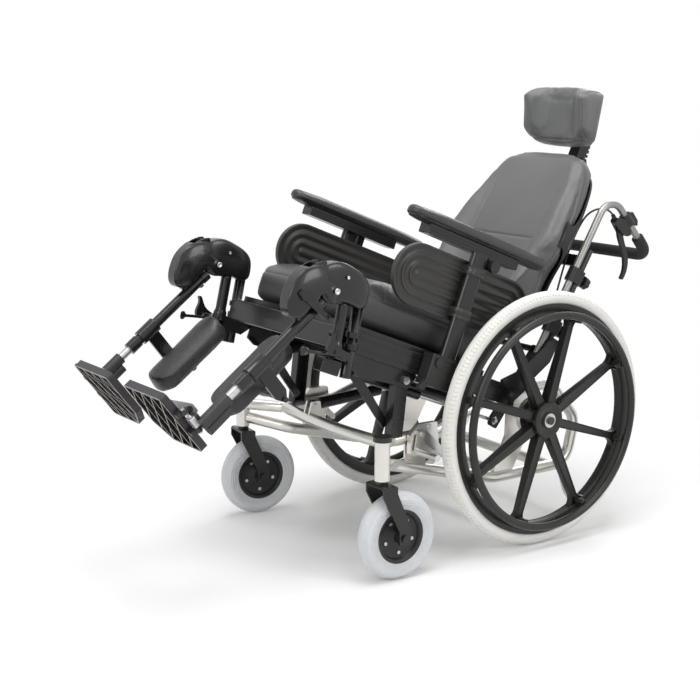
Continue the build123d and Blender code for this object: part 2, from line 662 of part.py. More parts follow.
def recline_cylinder():
    start = RECLINE_FOOT_U + 16
    end = start + RECLINE_CYL_L
    body = rod((RECLINE_X, start, RECLINE_FOOT_V), (RECLINE_X, end, RECLINE_FOOT_V), RECLINE_CYL_R)
    neck = rod((RECLINE_X, RECLINE_FOOT_U, RECLINE_FOOT_V), (RECLINE_X, start + 2, RECLINE_FOOT_V), 6)
    eye = pin(RECLINE_FOOT_U, RECLINE_FOOT_V, RECLINE_X - 6, RECLINE_X + 6, 10)
    bore = rod((RECLINE_X, start + 8, RECLINE_FOOT_V), (RECLINE_X, end + 1, RECLINE_FOOT_V),
               RECLINE_ROD_R + RUN)
    hole = pin(RECLINE_FOOT_U, RECLINE_FOOT_V, RECLINE_X - 20, RECLINE_X + 20, 5 + RUN)
    return SEAT * (body + neck + eye - bore - hole)


def recline_rod():
    start = RECLINE_FOOT_U + 130
    shaft = rod((RECLINE_X, start, RECLINE_FOOT_V), (RECLINE_X, BACK_U - 6, RECLINE_FOOT_V), RECLINE_ROD_R)
    end_pin = pin(BACK_U, RECLINE_FOOT_V, RECLINE_X - 6, LUG_X + LUG_T + 4, 5)
    knuckle = pin(BACK_U, RECLINE_FOOT_V, RECLINE_X - 6, RECLINE_X + 6, 9)
    return SEAT * (shaft + end_pin + knuckle)


# ---------------------------------------------------------------- back
def back_frame():
    cane = rod((CANE_X, CANE_T, CANE_BOTTOM), (CANE_X, CANE_T, CANE_TOP), CANE_R)
    hinge = plate([(-18, -14), (18, -14), (CANE_T + 12, CANE_BOTTOM - 6), (CANE_T + 12, CANE_BOTTOM + 50),
                   (CANE_T - 10, CANE_BOTTOM + 50), (-18, 16)], HINGE_X, HINGE_X + HINGE_T, 6)
    foot = block(CANE_X, HINGE_X + 1, CANE_T - 9, CANE_T + 9, CANE_BOTTOM + 4, CANE_BOTTOM + 40)
    hole = pin(0, 0, HINGE_X - 5, HINGE_X + 12, HINGE_BOLT_R + RUN)
    left = cane + foot + (hinge - hole)
    frame = left + mirror(left, about=Plane.YZ)
    frame += rod((-CANE_X, CANE_T, CANE_BOTTOM + 14), (CANE_X, CANE_T, CANE_BOTTOM + 14), 8)
    shell_plan = plan_face(shell_rear(0), arc_points(BACK_HALF - 30, SHELL_REAR_T - 20, -60))
    shell_space = extrude(Plane.XY * shell_plan, amount=BACK_TOP)
    for w in STRAP_W:
        frame += block(-CANE_X, CANE_X, CANE_T - 5, CANE_T + 1, w, w + 30)
        for x in (-SPACER_X, SPACER_X):
            frame += block(x - 15, x + 15, SHELL_REAR_T - 6, CANE_T - 3, w + 3, w + 27) - shell_space
    drop = math.radians(RECLINE)
    reach = BACK_V - RECLINE_FOOT_V
    q = (reach * math.sin(drop), -reach * math.cos(drop))
    lug = plate([(CANE_T - 14, CANE_BOTTOM + 22), (q[0] - 17, q[1] + 6), (q[0] - 14, q[1] - 16),
                 (q[0] + 14, q[1] - 16), (q[0] + 17, q[1] + 6), (CANE_T + 12, CANE_BOTTOM + 22)],
                LUG_X, LUG_X + LUG_T, 5)
    frame += lug - pin(q[0], q[1], LUG_X - 1, LUG_X + LUG_T + 1, 5 + RECLINE_PLAY)
    post = block(-20, 20, CANE_T + 1, CANE_T + 21, STRAP_W[0], STRAP_W[-1] + 30)
    frame += post - block(-HEAD_BAR_W / 2 - FIT, HEAD_BAR_W / 2 + FIT, HEAD_BAR_T0 - FIT,
                          HEAD_BAR_T0 + HEAD_BAR_D + FIT, 0, 600)
    return BACK * frame


# right half of the back cushion's outline, from the top down to the widest place
BACK_SIDE = [(70, 575), (115, 561), (150, 534), (170, 495), (182, 455), (195, 410), (203, 370),
             (BACK_HALF, 345)]
# from there in to the waist and down to the lower corner
BACK_WAIST = [(BACK_HALF, 345), (197, 322), (187, 298), (177, 272), (173, 240), (172, BACK_BOTTOM + 22)]


def back_outline(shrink):
    wide = (BACK_HALF - shrink) / BACK_HALF
    rise = BACK_TOP - BACK_BOTTOM
    tall = (rise - 2 * shrink) / rise

    def at(x, w):
        return (x * wide, BACK_BOTTOM + shrink + (w - BACK_BOTTOM) * tall)

    upper = [at(x, w) for x, w in BACK_SIDE]
    waist = [at(x, w) for x, w in BACK_WAIST]
    corner = waist[-1]
    low = at(corner[0] / wide - 22, BACK_BOTTOM)
    with BuildLine() as line:
        Spline(*[(-x, w) for x, w in reversed(upper)], at(0, BACK_TOP), *upper)
        Spline(*waist)
        TangentArc(corner, low, tangent=(0, -1))
        Line(low, (-low[0], low[1]))
        TangentArc((-corner[0], corner[1]), (-low[0], low[1]), tangent=(0, -1))
        Spline(*[(-x, w) for x, w in waist])
    return make_face(line.line)


def shell_rear(shift):
    return arc_points(BACK_HALF - 6, SHELL_REAR_T + shift, -52)


def arc_points(half, rear, front):
    return [(half, front), (half - 4, rear - 26), (half - 40, rear - 5), (0, rear), (40 - half, rear - 5),
            (4 - half, rear - 26), (-half, front)]


def plan_face(outer, inner):
    with BuildLine() as line:
        Spline(*outer)
        Line(outer[-1], inner[-1])
        Spline(*inner)
        Line(inner[0], outer[0])
    return make_face(line.line)


def back_shell():
    outer = shell_rear(0)
    inner = arc_points(BACK_HALF - 11, SHELL_REAR_T - 5, -52)
    section = extrude(Plane.XY * plan_face(outer, inner), amount=BACK_TOP)
    front = extrude(FRONT.offset(-80) * back_outline(5), amount=160)
    return BACK * (section & front)


def back_section(w, half, crest, crest_x, middle):
    gap = SHELL_REAR_T - 5 - FIT
    wide = BACK_HALF - 12
    edge = -52
    rear = [(wide, edge), (wide - 4, gap - 26), (wide - 39, gap - 5), (0, gap), (39 - wide, gap - 5),
            (4 - wide, gap - 26), (-wide, edge)]
    side = [(half, (crest + edge) / 2), ((half + crest_x) / 2 + 4, crest + 3), (crest_x, crest),
            (crest_x - 34, crest * 0.55 + middle * 0.45), (crest_x * 0.4, middle)]
    with BuildLine() as line:
        Spline(*rear)
        Spline((-wide, edge), *[(-x, t) for x, t in side], *reversed(side), (wide, edge))
    return Pos(0, 0, w) * make_face(line.line)


def back_cushion():
    # level, half width, crest depth, crest half width and depth at the middle
    levels = [(BACK_BOTTOM - 10, 204, -86, 176, -62), (300, 204, -92, 190, -62), (360, 204, -78, 192, -60),
              (420, 200, -65, 180, -56), (480, 190, -57, 164, -50), (540, 178, -47, 142, -42),
              (BACK_TOP + 12, 170, -34, 120, -30)]
    body = loft([back_section(*level) for level in levels])
    front = extrude(FRONT.offset(-40) * back_outline(0), amount=160)
    return BACK * (body & front)


def cane_clamps():
    clamp = Part()
    t0 = PUSH_T - CANE_R - 4
    t1 = CANE_T + CANE_R + 4
    half = CANE_R + 4
    for w in CLAMP_W:
        body = block(CANE_X - half, CANE_X + half, t0, t1, w - CLAMP_HALF, w + CLAMP_HALF)
        body = fillet(body.edges().filter_by(Axis.Z), CANE_R)
        stud = rod((CANE_X, t1 - 1, w), (CANE_X, t1 + 8, w), 5)
        knob = rod((CANE_X, t1 + 7, w), (CANE_X, t1 + 22, w), KNOB_R)
        for turn in range(KNOB_FLUTES):
            angle = 2 * math.pi * turn / KNOB_FLUTES
            groove_x = CANE_X + (KNOB_R + 2) * math.cos(angle)
            groove_w = w + (KNOB_R + 2) * math.sin(angle)
            knob -= rod((groove_x, t1 + 6, groove_w), (groove_x, t1 + 23, groove_w), 4)
        clamp += body + stud + knob
    clamp -= rod((CANE_X, CANE_T, 0), (CANE_X, CANE_T, 500), CANE_R)
    clamp -= rod((CANE_X, PUSH_T, 0), (CANE_X, PUSH_T, 500), CANE_R + RUN)
    return pair(BACK * clamp)


def arm_slope():
    return math.atan2(PUSH_TOP - GRIP_W, GRIP_T - PUSH_T)


def on_arm(along, off):
    slope = arm_slope()
    t = PUSH_T + along * math.cos(slope) + off * math.sin(slope)
    return (CANE_X, t, PUSH_TOP - along * math.sin(slope) + off * math.cos(slope))


def push_path(r):
    return pipe([
        (CANE_X, PUSH_T, CANE_BOTTOM), (CANE_X, PUSH_T, PUSH_TOP), (CANE_X, GRIP_T, GRIP_W),
        (-CANE_X, GRIP_T, GRIP_W), (-CANE_X, PUSH_T, PUSH_TOP), (-CANE_X, PUSH_T, CANE_BOTTOM),
    ], [45, PUSH_BEND_R, PUSH_BEND_R, 45], r)


def push_bar():
    return BACK * push_path(CANE_R)


def push_grip():
    start = on_arm(GRIP_START, 0)
    path = FilletPolyline(start, (CANE_X, GRIP_T, GRIP_W), (-CANE_X, GRIP_T, GRIP_W), (-start[0], *start[1:]),
                          radius=[PUSH_BEND_R, PUSH_BEND_R])
    ring = Circle(GRIP_R) - Circle(CANE_R)
    return BACK * sweep(Plane(origin=path @ 0, z_dir=path % 0) * ring, path=path)


def housing_frame():
    return BACK * Pos(*on_arm(HOUSING_REACH, 0)) * Rot(-math.degrees(arm_slope()), 0, 0)


def lever_housings():
    # a clamp collar round the bar, a long lever case under it and a trigger block on top
    low = -CANE_R - HOUSING_DROP
    collar = rod((0, -15, 0), (0, 15, 0), CANE_R + 5.5, CANE_R)
    case = plate([(-30, low - 9), (-34, low + 2), (-22, low + 13), (-12, -CANE_R - 2), (24, -CANE_R - 2),
                  (34, -CANE_R - 10), (26, low - 3), (6, low - 11)], -10, 10, 4)
    ridge = plate([(-12, CANE_R + 2), (-8, CANE_R + 13), (22, CANE_R + 13), (34, CANE_R + 3),
                   (22, CANE_R - 2), (-8, CANE_R - 2)], -8, 8, 3)
    barrel = rod((0, -BARREL_END, low), (0, -28, low), 5)
    slot = block(-4, 4, -16, 40, low - 30, low + 9)
    bolt = pin(LEVER_PIVOT, low - 4, -9.5, 9.5, 3)
    tube_space = rod((0, -60, 0), (0, 60, 0), CANE_R)
    left = housing_frame() * (collar + (case + ridge - slot - tube_space) + barrel + bolt)
    return group(left, mirror(left, about=Plane.YZ))


def brake_lever():
    # a long blade that leaves the case, runs down beside the arm and ends in a hook
    low = -CANE_R - HOUSING_DROP - 4
    outer = [(-9, low - 2), (2, low - 12), (34, low - 24), (70, low - 38), (92, low - 58), (99, low - 74)]
    inner = [(108, low - 70), (101, low - 50), (80, low - 27), (44, low - 12), (10, low + 3)]
    with BuildLine() as line:
        Spline(*outer)
        RadiusArc(outer[-1], inner[0], -6)
        Spline(*inner)
        RadiusArc(inner[-1], outer[0], -11)
    blade = extrude(SIDE.offset(FIT - 4) * make_face(line.line), amount=8 - 2 * FIT)
    return housing_frame() * (blade - pin(LEVER_PIVOT, low, -9, 9, 3 + RUN))


def control_cables():
    # from the housing inward behind the shell, then down to a stop on the bar between its clamps
    low = -CANE_R - HOUSING_DROP
    start = on_arm(HOUSING_REACH - BARREL_END, low)
    bend = on_arm(HOUSING_REACH - BARREL_END - 26, low)
    stop = (CANE_X - CANE_R - CABLE_R - FIT, PUSH_T, CLAMP_W[0] + CLAMP_HALF + 15)
    path = [start, bend, (CANE_X - 40, CABLE_T + 1, start[2] - 14), (CANE_X - 50, CABLE_T, start[2] - 76),
            (CANE_X - 40, CABLE_T + 1, start[2] - 176), stop]
    left = BACK * pipe(path, [25, 30, 80, 80], CABLE_R)
    return group(left, mirror(left, about=Plane.YZ))


def headrest_bar():
    # a flat bar up the back, a ribbed bracket behind the pad and a short arm to the ball
    rear = HEAD_BAR_T0 + HEAD_BAR_D
    bar = block(-HEAD_BAR_W / 2, HEAD_BAR_W / 2, HEAD_BAR_T0, rear, STRAP_W[0] + 10, HEAD_W - 50, 1)
    bracket = plate([(HEAD_BAR_T0 - 6, HEAD_W - 82), (rear + 10, HEAD_W - 82), (rear + 16, HEAD_W - 40),
                     (rear + 2, HEAD_W + 16), (HEAD_BAR_T0 - 14, HEAD_W + 16),
                     (HEAD_BAR_T0 - 12, HEAD_W - 30)], -17, 17, 5)
    for step in range(5):
        w = HEAD_W - 74 + 12 * step
        bracket -= block(-20, 20, rear + 8.5, rear + 30, w, w + 5)
    arm = rod((0, HEAD_BAR_T0, HEAD_W), (0, HEAD_T + 4, HEAD_W), 7)
    cam = rod((14, rear - 2, HEAD_W - 62), (30, rear - 2, HEAD_W - 62), 7)
    lever = plate([(rear - 8, HEAD_W - 58), (rear + 4, HEAD_W - 54), (rear + 30, HEAD_W - 88),
                   (rear + 24, HEAD_W - 96)], 24, 30, 3)
    ball = Pos(0, HEAD_T, HEAD_W) * Sphere(HEAD_BALL_R)
    return BACK * (bar + bracket + arm + cam + lever + ball)


def headrest_pad():
    half = HEAD_HALF
    rear = [(-half, -40), (-half + 24, -17), (-half + 66, -8), (0, -5), (half - 66, -8), (half - 24, -17),
            (half, -40)]
    face = [(half, -40), (half - 2, -70), (half - 12, -90), (half - 24, -94), (half - 44, -80),
            (half - 74, -60), (0, -52), (74 - half, -60), (44 - half, -80), (24 - half, -94),
            (12 - half, -90), (2 - half, -70), (-half, -40)]
    with BuildLine() as line:
        Spline(*rear)
        Spline(*face)
    section = Pos(0, 0, HEAD_W - 100) * extrude(Plane.XY * make_face(line.line), amount=200)
    place = FRONT.offset(-20) * Pos(0, HEAD_W)
    with BuildLine() as edge:
        low = -HEAD_RISE
        high = HEAD_RISE - 3
        ThreePointArc((HEAD_CORNER - half, high), (0, HEAD_RISE + 3), (half - HEAD_CORNER, high))
        TangentArc((half - HEAD_CORNER, HEAD_RISE - 3), (half + 1, HEAD_RISE - 44), tangent=(1, -0.05))
        Line((half + 1, HEAD_RISE - 44), (half + 1, low + 44))
        TangentArc((half + 1, low + 44), (half - HEAD_CORNER, low + 3), tangent=(0, -1))
        ThreePointArc((half - HEAD_CORNER, low + 3), (0, low - 2), (HEAD_CORNER - half, low + 3))
        TangentArc((-half - 1, low + 44), (HEAD_CORNER - half, low + 3), tangent=(0, -1))
        Line((-half - 1, low + 44), (-half - 1, HEAD_RISE - 44))
        TangentArc((-half - 1, HEAD_RISE - 44), (HEAD_CORNER - half, HEAD_RISE - 3), tangent=(0, 1))
    front = extrude(place * make_face(edge.line), amount=140)
    pad = section & front
    cup = rod((0, -20, HEAD_W), (0, HEAD_T, HEAD_W), 17)
    cup -= Pos(0, HEAD_T, HEAD_W) * Sphere(HEAD_BALL_R + RUN)
    cup -= pad
    return BACK * group(pad, cup)


# ---------------------------------------------------------------- armrests
def arm_post():
    post = Pos(0, 0, ARM_POST_BOTTOM) * extrude(arm_section(0), amount=ARM_POST_TOP - ARM_POST_BOTTOM)
    rail = block(PAD_X - 19, PAD_X + 19, -90, 192, ARM_POST_TOP, PAD_V, 2)
    for v in (ARM_POST_TOP + 6, ARM_POST_TOP + 13):
        for x in (PAD_X - 19, PAD_X + 19):
            rail -= block(x - 1.5, x + 1.5, -100, 200, v, v + 3)
    stud = pin(106, 306, PAD_X + 10, ARM_X + 18, 5)
    knob = pin(106, 306, ARM_X + 10, ARM_X + 24, 14)
    hanger = block(ARM_X - 4, ARM_X + 4, 96, 116, 296, ARM_POST_TOP + 1)
    return SEAT * (post + rail + stud + knob + hanger)


def side_panel():
    half = PANEL_T / 2
    mid_u = (PANEL_U0 + PANEL_U1) / 2
    mid_v = (PANEL_V0 + PANEL_V1) / 2
    place = Plane(origin=(PANEL_X - half, mid_u, mid_v), x_dir=(0, 1, 0), z_dir=(1, 0, 0))
    length = PANEL_U1 - PANEL_U0
    height = PANEL_V1 - PANEL_V0
    panel = extrude(place * SlotOverall(length, height), amount=PANEL_T)
    face = place.offset(PANEL_T)
    for inset in (0, 22, 44):
        outer = SlotOverall(length - 2 * inset, height - 2 * inset)
        inner = SlotOverall(length - 2 * inset - 12, height - 2 * inset - 12)
        panel += extrude(face * (outer - inner), amount=PANEL_RIB)
    for v in (181, 281):
        ring = Pos(0, 0, v - 11) * extrude(arm_section(4), amount=22)
        lug = block(PANEL_X, ARM_X, ARM_POST_U - 24, ARM_POST_U + 24, v - 11, v + 11)
        panel += ring + lug
    channel = Pos(0, 0, 100) * extrude(arm_section(0), amount=300)
    return SEAT * (panel - channel)


def arm_pad():
    length = PAD_U1 - PAD_U0
    with BuildLine() as line:
        Line((-PAD_W / 2 + 3, PAD_V), (PAD_W / 2 - 3, PAD_V))
        ThreePointArc((PAD_W / 2 - 3, PAD_V), (PAD_W / 2, PAD_V + 10), (PAD_W / 2 - 6, PAD_V + 18))
        ThreePointArc((PAD_W / 2 - 6, PAD_V + 18), (0, PAD_V + PAD_T), (6 - PAD_W / 2, PAD_V + 18))
        ThreePointArc((6 - PAD_W / 2, PAD_V + 18), (-PAD_W / 2, PAD_V + 10), (-PAD_W / 2 + 3, PAD_V))
    bar = Pos(PAD_X, 0, 0) * extrude(FRONT.offset(-PAD_U1) * make_face(line.line), amount=length)
    plan = Pos(PAD_X, (PAD_U0 + PAD_U1) / 2, PAD_V) * extrude(SlotOverall(length, PAD_W, 90), amount=60)
    return SEAT * (bar & plan)


# ---------------------------------------------------------------- leg rests
def leg_point(a, b):
    return (-b, -a)


# outlines of the two knee shells, as (y, z) about the knee bolt
KNEE_REAR = [(-55, 20), (-46, 38), (-30, 55), (0, 70), (29, 79), (56, 77), (75, 62), (86, 42), (80, 29),
             (64, 19), (39, 5), (10, -12)]
KNEE_CHEEK = [(-26, 4), (-44, 14), (-62, 27), (-72, 14), (-82, -20), (-81, -55), (-68, -84), (-46, -108),
              (-30, -111), (-18, -102), (-14, -75), (-16, -45), (-14, -24), (0, -24), (18, -20), (36, -4),
              (39, 5), (24, 11), (5, 12), (-12, 9)]


def leg_plate(points, x0, x1, corner=0):
    return plate([leg_point(a, b) for a, b in points], x0, x1, corner)


def leg_pin(a, b, x0, x1, r, bore=0):
    y, z = leg_point(a, b)
    return pin(y, z, x0, x1, r, bore)


def leg_rod(a0, a1, b, r, bore=0):
    return rod((HANGER_X, -b, -a0), (HANGER_X, -b, -a1), r, bore)


def knee_disc(half):
    return leg_pin(0, 0, HANGER_X - half, HANGER_X + half, KNEE_DISC_R)


def closed_shape(points, x0, x1):
    with BuildLine() as line:
        Spline(*points, periodic=True)
    return extrude(SIDE.offset(x0) * make_face(line.line), amount=x1 - x0)


def rear_knee():
    half = KNEE_HALF - KNEE_WALL - 2 * FIT
    tail = closed_shape(KNEE_REAR, HANGER_X - half, HANGER_X + half)
    rim = tail.edges().filter_by(GeomType.BSPLINE)
    tail = fillet(rim, KNEE_ROUND)
    shell = tail + knee_disc(half)
    return shell - leg_pin(0, 0, HANGER_X - 40, HANGER_X + 40, KNEE_BOLT_R + RUN)


def hanger():
    foot = HANGER_FOOT
    front_y = -HANGER_PITCH
    rear = rod((HANGER_X, 0, foot), (HANGER_X, 0, 120), HANGER_TUBE_R)
    front = rod((HANGER_X, front_y, 22), (HANGER_X, front_y, 130), HANGER_TUBE_R)
    hook = plate([(front_y - 14, 4), (0, -6), (0, 14), (front_y - 14, 24)], HANGER_X - 9, HANGER_X + 9, 4)
    foot_cap = rod((HANGER_X, front_y, 12), (HANGER_X, front_y, 34), HANGER_TUBE_R + 3, HANGER_TUBE_R)
    bar = rod((LATCH_X, front_y - 10, 12), (LATCH_X, front_y - 88, 10), 4)
    knob = rod((LATCH_X, front_y - 86, 10), (LATCH_X, front_y - 97, 10), LATCH_KNOB_R)
    bridge = block(HANGER_X + 4, LATCH_X + 4, front_y - 15, front_y - 3, 6, 18, 3)
    pivot = pin(LATCH_Y, LATCH_Z, LATCH_X - 2, LATCH_X + 14, 4)
    tie = block(LATCH_X - 3, LATCH_X + 3, LATCH_Y - 6, front_y - 4, LATCH_Z - 8, LATCH_Z + 5, 2)
    hook = hook + bar + knob + bridge + tie + pivot
    knee = LEG * rear_knee()
    tubes = HANGER * (rear + front) - knee
    hook = HANGER * (hook + (foot_cap - hook) - rear - front)
    return group(tubes, hook, knee)


def latch_lever():
    # a fat thumb lever: a round root on the pivot and an upturned fin
    x0 = LATCH_X + 4 + FIT
    y, z = LATCH_Y, LATCH_Z
    with BuildLine() as line:
        Spline((y - 16, z - 6), (y - 4, z - 9), (y + 10, z - 8), (y + 26, z - 12), (y + 40, z - 13))
        RadiusArc((y + 40, z - 13), (y + 40, z + 1), -7.2)
        Spline((y + 40, z + 1), (y + 18, z + 9), (y + 2, z + 20), (y - 8, z + 36), (y - 12, z + 42))
        RadiusArc((y - 12, z + 42), (y - 18, z + 38), -3.8)
        Spline((y - 18, z + 38), (y - 15, z + 24), (y - 19, z + 8), (y - 16, z - 6))
    blade = extrude(SIDE.offset(x0) * make_face(line.line), amount=LATCH_T)
    return HANGER * (blade - pin(y, z, x0 - 1, x0 + LATCH_T + 1, 4 + RUN))


def front_knee():
    shell = closed_shape(KNEE_CHEEK, HANGER_X - KNEE_HALF, HANGER_X + KNEE_HALF)
    shell = fillet(shell.edges().filter_by(GeomType.BSPLINE), KNEE_WALL - FIT)
    slot_half = KNEE_HALF - KNEE_WALL
    slot = leg_pin(0, 0, HANGER_X - slot_half, HANGER_X + slot_half, KNEE_R)
    slot += leg_plate([(-120, -100), (-120, 120), (10, 120), (20, 0), (20, -100)], HANGER_X - slot_half,
                      HANGER_X + slot_half)
    web = leg_plate([(LEG_TOP + 6, 20), (LEG_TOP + 6, 0), (102, 0), (102, 20)], HANGER_X - 9, HANGER_X + 9)
    cheek = leg_plate([(LEG_TOP + 6, 20), (LEG_TOP + 6, 14), (102, 14), (102, 20)], HANGER_X - slot_half - 1,
                      HANGER_X + slot_half + 1)
    return shell - slot + web + cheek


def leg_tube():
    knee = front_knee()
    bolt = leg_pin(0, 0, HANGER_X - KNEE_HALF - 2, HANGER_X + KNEE_HALF + 2, KNEE_BOLT_R)
    for side in (-1, 1):
        face = HANGER_X + side * KNEE_HALF
        knee += leg_pin(0, 0, min(face, face + side * 3), max(face, face + side * 3), 9)
    tube = leg_rod(LEG_TOP, LEG_BOTTOM, -LEG_OFF, LEG_TUBE_R, LEG_BORE_R)
    collar = leg_rod(LEG_BOTTOM, LEG_BOTTOM + 30, -LEG_OFF, 15, LEG_BORE_R)
    top_ring = leg_rod(LEG_TOP, LEG_TOP + 18, -LEG_OFF, 15, LEG_BORE_R)
    clamp = leg_rod(205, 255, -LEG_OFF, 18, LEG_TUBE_R)
    arm = leg_plate([(210, -18), (210, -90), (CALF_BOLT_A, CALF_BOLT_B - 10), (242, -90), (242, -18)],
                    HANGER_X - 4, HANGER_X + 4, 5)
    space = leg_rod(100, 300, -LEG_OFF, LEG_TUBE_R)
    calf_pin = leg_pin(CALF_BOLT_A, CALF_BOLT_B, CALF_X0 + 50, HANGER_X + 8, 6)
    lever_pin = leg_pin(LEVER_A, LEVER_B, HANGER_X + KNEE_HALF - 9, HANGER_X + KNEE_HALF + 8, 4)
    cheek = HANGER_X + KNEE_HALF
    lever_pin += leg_plate([(LEVER_A - 6, LEVER_B - 6), (LEVER_A - 6, 30), (LEVER_A + 6, 30),
                            (LEVER_A + 6, LEVER_B - 6)], cheek - 9, cheek - 1, 2)
    column = tube + collar + top_ring
    knee = knee - leg_rod(LEG_TOP - 1, LEG_TOP + 20, -LEG_OFF, 15)
    knee = knee - leg_rod(LEG_TOP, 120, -LEG_OFF, LEG_TUBE_R)
    return LEG * group(knee + bolt + (lever_pin - column), column, clamp + (arm - space) + calf_pin)


def elevating_lever():
    x0 = HANGER_X + KNEE_HALF + FIT
    blade = leg_plate([(LEVER_A - 7, LEVER_B - 8), (LEVER_A + 6, LEVER_B - 8), (LEVER_A + 22, LEVER_B + 76),
                       (LEVER_A + 17, LEVER_B + 84), (LEVER_A + 9, LEVER_B + 84),
                       (LEVER_A + 8, LEVER_B + 70)], x0, x0 + 4, 3)
    grip = leg_plate([(LEVER_A + 4, LEVER_B + 66), (LEVER_A + 24, LEVER_B + 66), (LEVER_A + 22, LEVER_B + 88),
                      (LEVER_A + 8, LEVER_B + 88)], x0, x0 + 8, 4)
    return LEG * (blade + grip - leg_pin(LEVER_A, LEVER_B, x0 - 1, x0 + 9, 4 + RUN))


def calf_pad():
    mid_x = (CALF_X0 + CALF_X1) / 2
    half = (CALF_X1 - CALF_X0) / 2
    long_half = (CALF_A1 - CALF_A0) / 2
    deep = CALF_B1 - CALF_B0
    back = -CALF_B0
    front = back - deep
    with BuildLine() as line:
        Line((-half + 6, back), (half - 6, back))
        ThreePointArc((half - 6, back), (half, back - deep * 0.35), (half - 4, front + 16))
        Spline((half - 4, front + 16), (half - 14, front + 5), (half - 30, front), (0, front - 3),
               (30 - half, front), (14 - half, front + 5), (4 - half, front + 16))
        ThreePointArc((4 - half, front + 16), (-half, back - deep * 0.35), (-half + 6, back))
    across = Pos(mid_x, 0, -CALF_A1) * extrude(Plane.XY * make_face(line.line), amount=2 * long_half)
    place = Plane(origin=(mid_x, back, -(CALF_A0 + CALF_A1) / 2), x_dir=(1, 0, 0), z_dir=(0, -1, 0))
    plan = extrude(place * RectangleRounded(2 * half, 2 * long_half, half - 1), amount=deep + 10, taper=8)
    pad = across & plan
    backing = block(mid_x - 34, mid_x + 34, back, back + 4, -CALF_A1 + 50, -CALF_A0 - 50)
    sleeve = leg_pin(CALF_BOLT_A, CALF_BOLT_B, CALF_X0 + 52, CALF_X1 + 16, 10)
    sleeve += block(CALF_X0 + 52, mid_x + 34, back + 3, -CALF_BOLT_B, -CALF_BOLT_A - 8, -CALF_BOLT_A + 8)
    sleeve -= leg_pin(CALF_BOLT_A, CALF_BOLT_B, CALF_X0 - 5, HANGER_X, 6 + RUN)
    return LEG * group(pad, backing + (sleeve - block(0, 300, 0, back, -400, 0)))


def foot_tube():
    inner = leg_rod(160, 322, -LEG_OFF, FOOT_TUBE_R)
    sleeve = leg_rod(320, 398, -LEG_OFF, 14) + leg_rod(330, 396, -LEG_OFF - 20, 12)
    hinge = rod((FOOT_HINGE_X, 30, -FOOT_HINGE_A), (FOOT_HINGE_X, -42, -FOOT_HINGE_A), 5)
    ear = block(FOOT_HINGE_X - 6, HANGER_X - 4, -18, 6, -FOOT_HINGE_A - 7, -388, 2)
    return LEG * group(inner + sleeve + ear + hinge)


def footplate():
    # an open tray under a thin deck, stiffened by a diagonal lattice, with a bracket to the hinge
    low = -FOOT_A - FOOT_PLATE_T
    wide = FOOT_X1 - FOOT_X0
    deep = FOOT_B1 - FOOT_B0
    outline = Polyline((FOOT_X0, -FOOT_B1), (FOOT_X1, -FOOT_B1), (FOOT_X1, -FOOT_B0),
                       (FOOT_X0 + 40, -FOOT_B0), (FOOT_X0, -FOOT_B0 - 46), close=True)
    face = fillet(make_face(outline).vertices(), 9)
    tray = Pos(0, 0, low) * extrude(face, amount=FOOT_PLATE_T)
    well = Pos(0, 0, low - 1) * extrude(offset(face, amount=-FOOT_RIM), amount=FOOT_PLATE_T - FOOT_DECK + 1)
    ribs = Part()
    reach = wide + deep
    for step in range(1, FOOT_RIBS):
        x = FOOT_X0 + wide * step / FOOT_RIBS
        ribs += block(x - FOOT_RIB / 2, x + FOOT_RIB / 2, -FOOT_B1, -FOOT_B0, low, -FOOT_A - 1)
    for step in range(-FOOT_RIBS, FOOT_RIBS + 1):
        centre = Pos(FOOT_X0 + wide * (step + 0.5) / FOOT_RIBS + wide / 2, -(FOOT_B0 + FOOT_B1) / 2, low)
        rib = Box(FOOT_RIB, 2 * reach, FOOT_PLATE_T - 1, align=(Align.CENTER, Align.CENTER, Align.MIN))
        ribs += centre * Rot(0, 0, FOOT_RIB_TURN) * rib
    deck = tray - well + (ribs & Pos(0, 0, low) * extrude(face, amount=FOOT_PLATE_T - 1))
    for b in FOOT_EARS:
        ear = block(FOOT_X1 - 8, FOOT_HINGE_X, -b - 9, -b + 1, low + 2, -FOOT_A - FOOT_EAR_DROP)
        barrel = rod((FOOT_HINGE_X, -b - 9, -FOOT_HINGE_A), (FOOT_HINGE_X, -b + 1, -FOOT_HINGE_A), 8)
        deck += ear + barrel
    bracket = plate([(-FOOT_B1 - 4, low + 2), (-22, -FOOT_A + 30), (-2, -FOOT_A + 30), (8, low + 2)],
                    FOOT_X1 - 6, FOOT_X1 + 3, 3)
    button = pin(-20, -FOOT_A + 16, FOOT_X1 + 2, FOOT_X1 + 6, 8)
    deck += bracket + button
    hinge_bore = rod((FOOT_HINGE_X, -60, -FOOT_HINGE_A), (FOOT_HINGE_X, 60, -FOOT_HINGE_A), 5 + RUN)
    return LEG * (deck - hinge_bore)


# ---------------------------------------------------------------- write every piece
save("cross_members", cross_members())
save_sides("side_frame", side_frame())
save("tilt_posts", tilt_posts())
save("axle_sets", axle_sets())
save("wheel_lock_plates", wheel_lock_plates())
save_sides("wheel_lock_lever", wheel_lock_lever())
save("anti_tippers", anti_tippers())
for side, word in ((1, "left"), (-1, "right")):
    save("caster_fork_" + word, caster_side(side, caster_fork_shape()))
    save("caster_wheel_" + word, caster_side(side, caster_wheel_shape()))
save_sides("rear_wheel", rear_wheel())
save_sides("rear_tyre", rear_tyre())
save("seat_rails", seat_rails())
save("seat_pan", seat_pan())
save("seat_cushion", seat_cushion())
save("arm_sockets", arm_sockets())
save("hanger_brackets", hanger_brackets())
save("seat_stays", seat_stays())
save("tilt_bolts", tilt_bolts())
save("tilt_cylinder", tilt_cylinder())
save("tilt_rod", tilt_rod())
save("recline_cylinder", recline_cylinder())
save("recline_rod", recline_rod())
save("back_frame", back_frame())
